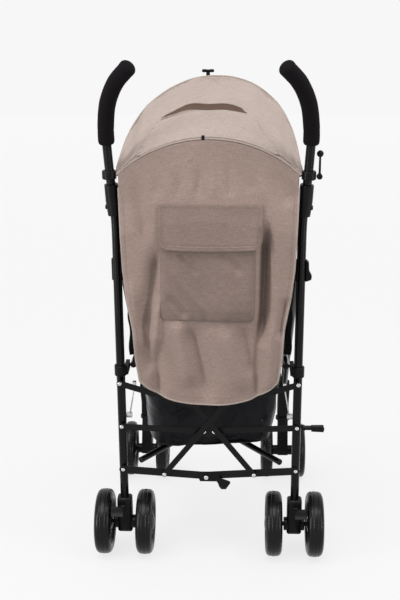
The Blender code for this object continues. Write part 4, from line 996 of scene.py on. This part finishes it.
strapValues = {"low": 0.17, "high": 0.74, "apart": 0.055, "halfWidth": 0.011, "thickness": 0.0016}
q = strapValues
straps = []
for sign, side, tag in reversed(sides):
    k = np.linspace(q["low"], q["high"], 30)
    spread = np.minimum(1, (k - q["low"]) / 0.25)
    line = seatLine(k, 0.0150 - 0.0010 * spread + 0.0010 * np.sin(k * 16 + sign))
    line[:, 0] = sign * q["apart"] * (0.20 + 0.80 * spread)
    straps.append(strap("shoulder_strap_" + tag, line, q["halfWidth"], q["thickness"], acrossDir,
                        "webbing", "core"))
    straps.append(strap("strap_pad_" + tag, line[12:27] + seatOut * 0.0012, 0.0165, 0.0050,
                        acrossDir, "lining", "core"))
line = seatLine(np.linspace(0.05, 0.150, 12), np.full(12, 0.0145))
straps.append(strap("crotch_strap", line, 0.012, q["thickness"], acrossDir, "webbing", "core"))
seatAxes = np.array([acrossDir, np.cross(seatUp, acrossDir) * -1, seatUp])
buckleAt = seatLine(0.165, 0.0180)
buckle = roundedBlock("buckle", (0.046, 0.011, 0.034), buckleAt, seatAxes, "plastic", 0.0030,
                      "core")
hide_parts("harness")
roundedBlock("buckle_button", (0.020, 0.004, 0.014), buckleAt + seatAxes[1] * 0.0055, seatAxes,
             "ratchet", 0.0014, "core")
print("harness made")

# basket: a crumpled open bag that sags between four tabs
basketValues = {
    "top": 0.366, "rear": 0.040 + chair["axleY"], "front": 0.330 + chair["axleY"],
    "half": chair["halfTrack"] - 0.0298, "depth": 0.102, "drop": 0.030, "sag": 0.012,
    "crumple": 0.0125, "thickness": 0.0016, "dip": 0.006,
    "around": 361, "wallRows": 46, "floorRows": 60,
}
bv = basketValues


def basketRing(level, turn):
    # a rounded rectangle that narrows with depth: a superellipse of power five, swept by its angle
    halfX = bv["half"] - 0.016 * level
    y0, y1 = bv["rear"] + 0.012 * level, bv["front"] - 0.020 * level
    c, s = np.cos(turn), np.sin(turn)
    r = 1 / (np.abs(c)**5 + np.abs(s)**5)**0.2
    return np.stack([halfX * r * c, (y0 + y1) / 2 + (y1 - y0) / 2 * r * s], -1)


# the outline's points are spaced by length, not by angle
turn = np.linspace(0, 2 * math.pi, 4001)
soFar = lengths(basketRing(0.0, turn))
around = np.linspace(0, soFar[-1], bv["around"])
evenTurn = np.interp(around, soFar, turn)
wallLevels = np.linspace(0, 1, bv["wallRows"])
floorLevels = np.linspace(1, 0.0, bv["floorRows"])[1:]
isFloor = np.arange(len(wallLevels) + len(floorLevels)) >= len(wallLevels)
centre = np.array([0, (bv["rear"] + bv["front"]) / 2])
rings = [(basketRing(level, evenTurn), level) for level in wallLevels]
rings += [(centre + (basketRing(1.0, evenTurn) - centre) * level, 1.0) for level in floorLevels]
shell = []
for ring, drop in rings:
    # the rear hangs lower than the front and the middle lower than the sides
    back = (bv["front"] - ring[:, 1]) / (bv["front"] - bv["rear"])
    sag = bv["sag"] * (1 - (ring[:, 0] / 0.15)**2)
    fall = drop * (bv["depth"] + bv["drop"] * back + sag)
    shell.append(np.column_stack([ring, bv["top"] - fall]))
shell = np.array(shell)
around = around[None, :]
down = np.concatenate([wallLevels * 0.088,
                       0.088 + np.linspace(0, 0.14, bv["floorRows"])[1:]])[:, None]
dents = (waves(around, down * 1.2, 51, 7, 14, 60, sharp=True)
         + 0.7 * waves(around, down, 52, 7, 12, 50))
dents = dents * np.clip(np.minimum(around, soFar[-1] - around) / 0.03, 0, 1)
outward = unit(np.cross(np.gradient(shell, axis=1), np.gradient(shell, axis=0)))
middleRow = shell[20, :, :2]
if (outward[20, :, :2] * (middleRow - middleRow.mean(0))).sum() < 0:
    outward = -outward
share = np.clip(down / 0.012, 0, 1) * np.where(isFloor, 0.7, 1.0)[:, None]
shell = shell + outward * (bv["crumple"] * dents * share)[..., None]
# the rim dips between its tabs
dip = bv["dip"] * np.sin(np.pi * (shell[:1, :, 0] / bv["half"]))**2 * np.clip(1 - down / 0.06, 0, 1)
shell[..., 2] -= dip
shell[:, -1] = shell[:, 0]
shell[-1] = shell[-1].mean(0)
basket = assemble("basket_bag", [shell], "nylon", merge=2e-6)
solid = basket.modifiers.new("thickness", "SOLIDIFY")
solid.thickness, solid.offset = bv["thickness"], 0.0
softPiece(basket, "basket", "basket")
rim = assemble("basket_rim", [tube(resample(shell[0], 300), 0.0026, (0, 0, 1), 10, caps=False)],
               "webbing")
softPiece(rim, "basket")
tabValues = {"fromRear": 0.045, "fromFront": 0.030, "railIn": 0.0238, "underRail": 0.0085,
             "halfWidth": 0.010, "thickness": 0.0018}
q = tabValues
tabs = []
slope = seatAhead[2] / seatAhead[1]
for sign, side, tag in reversed(sides):
    for y in (bv["rear"] + q["fromRear"], frontRail[1] - q["fromFront"]):
        railZ = rearRail[2] + slope * (y - rearRail[1])
        high = np.array([sign * (chair["halfTrack"] - q["railIn"]), y, railZ - q["underRail"]])
        low = np.array([sign * (bv["half"] - 0.0005), y, bv["top"] - 0.016])
        line = low + (high - low) * np.linspace(0, 1, 14)[:, None]
        tabs.append(strap(f"basket_tab_{len(tabs)}", line, q["halfWidth"], q["thickness"],
                          (0, 1, 0), "webbing", "basket"))
print("basket made")

# grips: foam along the bent handle, with a moulded tip
gripValues = {
    "radius": 0.0158, "tip": 0.012, "rings": 150, "from": 48,
    "grooves": (22, 25), "groove": 0.0007,
    # the handle's middle line: outward from the tube, forward and up along it
    "handle": [(0, 0.0, 0.655), (0.0012, 0.0, 0.690), (0.0068, -0.002, 0.752),
               (0.0115, -0.012, 0.8340), (0.0092, -0.028, 0.8780), (0.0014, -0.048, 0.9180),
               (-0.0160, -0.070, 0.9550), (-0.0395, -0.088, 0.9820)],
}
q = gripValues
for sign, side, tag in sides:
    body = side + "_frame"
    bend = catmull([onLean(sign * (chair["halfTrack"] + x), d, u) for x, d, u in q["handle"]], 16)
    foam = resample(bend[q["from"]:], q["rings"])
    k = np.arange(q["rings"])
    radius = np.full(q["rings"], q["radius"])
    radius[:8] = q["radius"] * (0.90 + 0.10 * np.sqrt(1 - ((7 - k[:8]) / 7.0)**2))
    for ring in q["grooves"]:
        radius = radius - q["groove"] * np.exp(-((k - ring) / 0.8)**2)
    radius = radius * (1 + 0.006 * np.sin(k * 0.23) * np.sin(k * 0.071))
    grip = assemble("foam_grip_" + tag, [tube(foam, radius, (1, 0.1, 0), 48)], "foam")
    softPiece(grip, body, "grip_" + tag)
    reach = np.linspace(-0.002, q["tip"], 26)
    dome = np.sqrt(np.clip(1 - ((reach - 0.002) / 0.0101)**2, 0, 1))
    capRadius = q["radius"] * np.where(reach < 0.002, 1.015, dome * 1.015)
    tipLine = foam[-1] + unit(foam[-1] - foam[-2]) * reach[:, None]
    tip = assemble("grip_tip_" + tag, [tube(tipLine, capRadius, (1, 0.1, 0), 48)], "foam")
    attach(tip, body)
print("grips made")

# wheels: smooth tyres and finned hubs
wheelValues = {
    "radius": 0.070,
    # for each end of the chair: tyre width, distance between the twins, axle's y, half track
    "rear": (0.034, 0.0884, chair["axleY"], chair["halfTrack"]),
    "front": (0.028, 0.0830, chair["frontY"], chair["frontTrack"]),
    "shaft": 0.0045, "bead": 0.0486, "fins": (10, 0.0042), "teeth": (24, 0.0036),
}
# half a tread's outline from its middle to the bead, as (share of the half width, radius)
halfTread = [(0.4, 0.0696), (0.68, 0.0680), (0.88, 0.0652), (0.975, 0.0610), (1.0, 0.0560),
             (0.97, 0.0515), (0.86, 0.0485)]
# from the rim to the axle cap, as (share of the half width, radius)
hubOutline = np.array([
    (0.80, 0.0490), (0.86, 0.0484), (0.86, 0.0455), (0.80, 0.0448), (0.55, 0.0440), (0.50, 0.0400),
    (0.50, 0.0250), (0.62, 0.0238), (0.66, 0.0190), (0.98, 0.0168), (1.02, 0.0155), (1.05, 0.0120),
    (1.14, 0.0090), (1.16, 0.0040), (1.16, 0.0)])


def tyreProfile(width):
    # tread outline as (x, r), then grooves cut round it and moulded lines on each wall
    w, r = width / 2, wheelValues["radius"]
    raw = [(-x, at) for x, at in reversed(halfTread)] + [(0.0, r)] + halfTread
    fine = catmull([(x * w, at, 0.0) for x, at in raw], 12)[:, :2]
    out = unit(np.stack([np.gradient(fine[:, 1]), -np.gradient(fine[:, 0])], -1)) * -1
    groove = np.zeros(len(fine))
    for at in (-0.30, 0.30):
        cut = 0.0009 * np.exp(-((fine[:, 0] / w - at) / 0.050)**2)
        groove += cut * (fine[:, 1] > r - 0.004)
    for at in (0.0560, 0.0600):
        line = 0.0006 * np.exp(-((fine[:, 1] - at) / 0.0006)**2)
        groove -= line * (np.abs(fine[:, 0]) > 0.8 * w)
    fine = fine - out * groove[:, None]
    return np.concatenate([fine, fine[:1]])


def hubFace(centreX, sign, width, centre, fins):
    # fins are a rounded square wave of the angle between two radii
    count, height = fins
    fineAt = np.linspace(0, len(hubOutline) - 1, 4 * len(hubOutline))
    x, r = (np.interp(fineAt, np.arange(len(hubOutline)), hubOutline[:, k]) for k in (0, 1))

    def ripple(angle, radius):
        wave = np.tanh(3.0 * np.sin(count * angle)) * 0.5 + 0.5
        band = (np.clip((radius - 0.0245) / 0.002, 0, 1)
                * np.clip((0.0435 - radius) / 0.002, 0, 1))
        return sign * height * wave * band

    return lathe(np.column_stack([centreX + sign * (x * (width / 2)), r]), centre, 241, ripple)


for place in ("rear", "front"):
    wide, gap, axisY, half = wheelValues[place]
    centre = (0, axisY, wheelValues["radius"])
    for sign, side, tag in sides:
        body = f"{place}_wheels_{side}"
        hubParts = []
        for where, shift in (("out", 1), ("in", -1)):
            centreX = sign * (half + shift * gap / 2)
            profile = tyreProfile(wide) + np.array([centreX, 0])
            tyre = assemble(f"{place}_tyre_{where}_{side}", [lathe(profile, centre, 120)], "tyre")
            softPiece(tyre, body, f"{place}_tyre_{where}_{tag}")
            outside = sign * shift
            hubParts.append(hubFace(centreX, outside, wide, centre, wheelValues["fins"]))
            hubParts.append(hubFace(centreX, -outside, wide * 0.86, centre, wheelValues["teeth"]))
            barrel = [(centreX + end * wide * 0.40, wheelValues["bead"]) for end in (-1, 1)]
            hubParts.append(lathe(barrel, centre, 121))
        left, right, thick = sign * half - gap / 2, sign * half + gap / 2, wheelValues["shaft"]
        shaft = [(left, 0.0), (left, thick), (right, thick), (right, 0.0)]
        hubParts.append(lathe(shaft, centre, 24))
        hubs = assemble(f"{place}_hubs_{side}", hubParts, "ratchet", merge=1e-7)
        softPiece(hubs, body, f"{place}_hubs_{tag}")
print("wheels made")

# bright rivet heads and the brace bolt
rivetValues = {
    "radius": 0.0046, "height": 0.0020, "firstLayer": 0.0098, "step": 0.0025, "strip": 0.0020,
    "lowerOut": 0.1340, "midOut": 0.2350, "topOut": 0.3390,      # pivots, counted along the tube
    "lowerDrop": 0.0126, "midDrop": 0.0080,                      # of the links' inner ends
    "crossX": 0.0950, "plateX": 0.0107,
}
q = rivetValues
lowerIn, midIn = q["lowerOut"] - q["lowerDrop"], q["midOut"] - q["midDrop"]


def domeHead(name, x, up, layer, raised, body, radius=q["radius"], height=q["height"]):
    # a low dome on its layer of strips: r sin(a) across and h cos(a) out of the rear plane
    depth = -(q["firstLayer"] + (layer - 1) * q["step"]) - q["strip"] - raised
    b, a = np.meshgrid(np.linspace(0, 2 * math.pi, 33), np.linspace(0, math.pi / 2, 9))
    b[:, -1] = 0.0
    head = onLean(x + radius * np.sin(a) * np.cos(b), depth - height * np.cos(a),
                  up + radius * np.sin(a) * np.sin(b))
    base = onLean(np.full((1, 33), x), depth, up)
    made = assemble(name, [np.concatenate([head, base])], "steel", merge=1e-7)
    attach(made, body)


for near, (sign, side, tag) in enumerate(sides, 1):
    frameBody, x = side + "_frame", sign * chair["halfTrack"]
    crossUp = lowerIn + q["lowerDrop"] * q["crossX"] / chair["halfTrack"]
    for part, atX, up, layer, raised, body in (
            ("lower", x, q["lowerOut"], near, 0.0008, frameBody),
            ("mid", x, q["midOut"], near, 0.0008, frameBody),
            ("top", x, q["topOut"], 5 + near, 0.0008, frameBody),
            ("plate", sign * q["plateX"], midIn, 3, 0.0004, "centre_plate"),
            ("cross", sign * q["crossX"], crossUp, 3 + near, 0.0008, f"lower_link_{side}")):
        domeHead(f"{part}_rivet_{side}", atX, up, layer, raised, body)
domeHead("brace_bolt", -0.0062, lowerIn - 0.001, 3, 0.0036, "lower_link_left", 0.0048, 0.0016)
print("rivets made")

# each loose cloth piece gets a mesh of its own
rearCloth = [canopy, windowShade, hoodFlap, hoodThread, hoop, *hoodStrips, panel, hem, bag, flap,
             panelThread]
innerCloth = [backPad, seatPad, *wings, basket, rim, *tabs, *straps]
for keep, pieces in ((0.39, rearCloth), (0.27, innerCloth)):
    for obj in pieces:
        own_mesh(obj)

# floor, light and camera
stageValues = {"floor": 0.10, "glow": 0.77, "bounce": 0.34, "overhead": 1.0, "horizon": 0.34,
               "sun": 1.9, "shown": 0.930, "half": 30}
# each softbox: place, target, width and height, power
softboxes = {
    "leftSoftbox": ((-1.9, -1.3, 0.75), (0, -0.1, 0.5), (0.16, 1.4), 24.0),
    "rightSoftbox": ((2.0, -1.2, 0.75), (0, -0.1, 0.55), (0.16, 1.4), 10.8),
    "lowLeftSoftbox": ((-1.05, -1.0, 0.22), (-0.1, -0.1, 0.5), (0.07, 0.40), 1.0),
    "lowRightSoftbox": ((1.15, -1.0, 0.22), (0.1, -0.1, 0.5), (0.07, 0.40), 0.6),
    "topSoftbox": ((1.3, -0.9, 2.2), (0, -0.1, 0.9), (0.5, 0.5), 12.0),
}
sv = stageValues


def aim(obj, direction):
    obj.rotation_euler = Vector(direction).to_track_quat("-Z", "Y").to_euler()


def seenRays(tree):
    # 1 for rays from the camera and for those that metal and glass send on
    path = node(tree, "LightPath").outputs
    seen = maths(tree, "MAXIMUM", path["Is Camera Ray"], path["Is Glossy Ray"])
    return maths(tree, "MAXIMUM", seen, path["Is Transmission Ray"])


floorMesh = bpy.data.meshes.new("floor")
corners = [(x * sv["half"], y * sv["half"], 0) for x, y in ((-1, -1), (1, -1), (1, 1), (-1, 1))]
floorMesh.from_pydata(corners, [], [(0, 1, 2, 3)])
floorLook, tree, shader = newLook("paleFloor", Roughness=0.9, Specular_IOR_Level=0.1,
                                  Base_Color=(sv["floor"],) * 3 + (1,), Emission_Color=(1, 1, 1, 1))
strength = mapRange(tree, seenRays(tree), 0.0, 1.0, sv["bounce"], sv["glow"])
tree.links.new(strength, shader.inputs["Emission Strength"])
floorMesh.materials.append(floorLook)
floor = linkObject("floor", floorMesh)

sunData = bpy.data.lights.new("softSun", "SUN")
sunData.energy, sunData.angle = sv["sun"], math.radians(40)
lamps = [linkObject("softSun", sunData)]
aim(lamps[0], (0.20, 0.42, -1.0))
for name, (place, target, size, power) in softboxes.items():
    data = bpy.data.lights.new(name, "AREA")
    data.shape, data.size, data.size_y, data.energy = "RECTANGLE", size[0], size[1], power
    lamp = linkObject(name, data)
    lamp.location, lamp.visible_camera = place, False
    aim(lamp, Vector(target) - Vector(place))
    lamps.append(lamp)

world = bpy.data.worlds.new("studio")
bpy.context.scene.world = world
world.use_nodes = True
tree = world.node_tree
tree.nodes.clear()
ray = node(tree, "SeparateXYZ", {0: node(tree, "TexCoord").outputs["Generated"]})
height = mapRange(tree, ray.outputs[2], 0.05, 0.75, sv["horizon"], sv["overhead"])
light = node(tree, "Background", {0: (1.0, 0.995, 0.985, 1), 1: height})
shown = node(tree, "Background", {0: (sv["shown"],) * 3 + (1,), 1: 1.0})
mix = node(tree, "MixShader", {0: seenRays(tree), 1: light.outputs[0], 2: shown.outputs[0]})
node(tree, "OutputWorld", {0: mix.outputs[0]})

cameraValues = {"lens": 1021.6 / 600 * 36.0, "place": (0.061, -2.2333, 1.0108), "yaw": -0.0392,
                "dip": math.radians(12.05)}
data = bpy.data.cameras.new("camera")
data.sensor_fit, data.sensor_width, data.sensor_height = "VERTICAL", 24.0, 36.0
data.lens = cameraValues["lens"]
camera = linkObject("camera", data)
camera.location = cameraValues["place"]
yaw, dip = cameraValues["yaw"], cameraValues["dip"]
aim(camera, (math.sin(yaw) * math.cos(dip), math.cos(yaw) * math.cos(dip), -math.sin(dip)))
bpy.context.scene.camera = camera
bpy.context.scene.view_settings.view_transform = "Standard"

print("stage made")
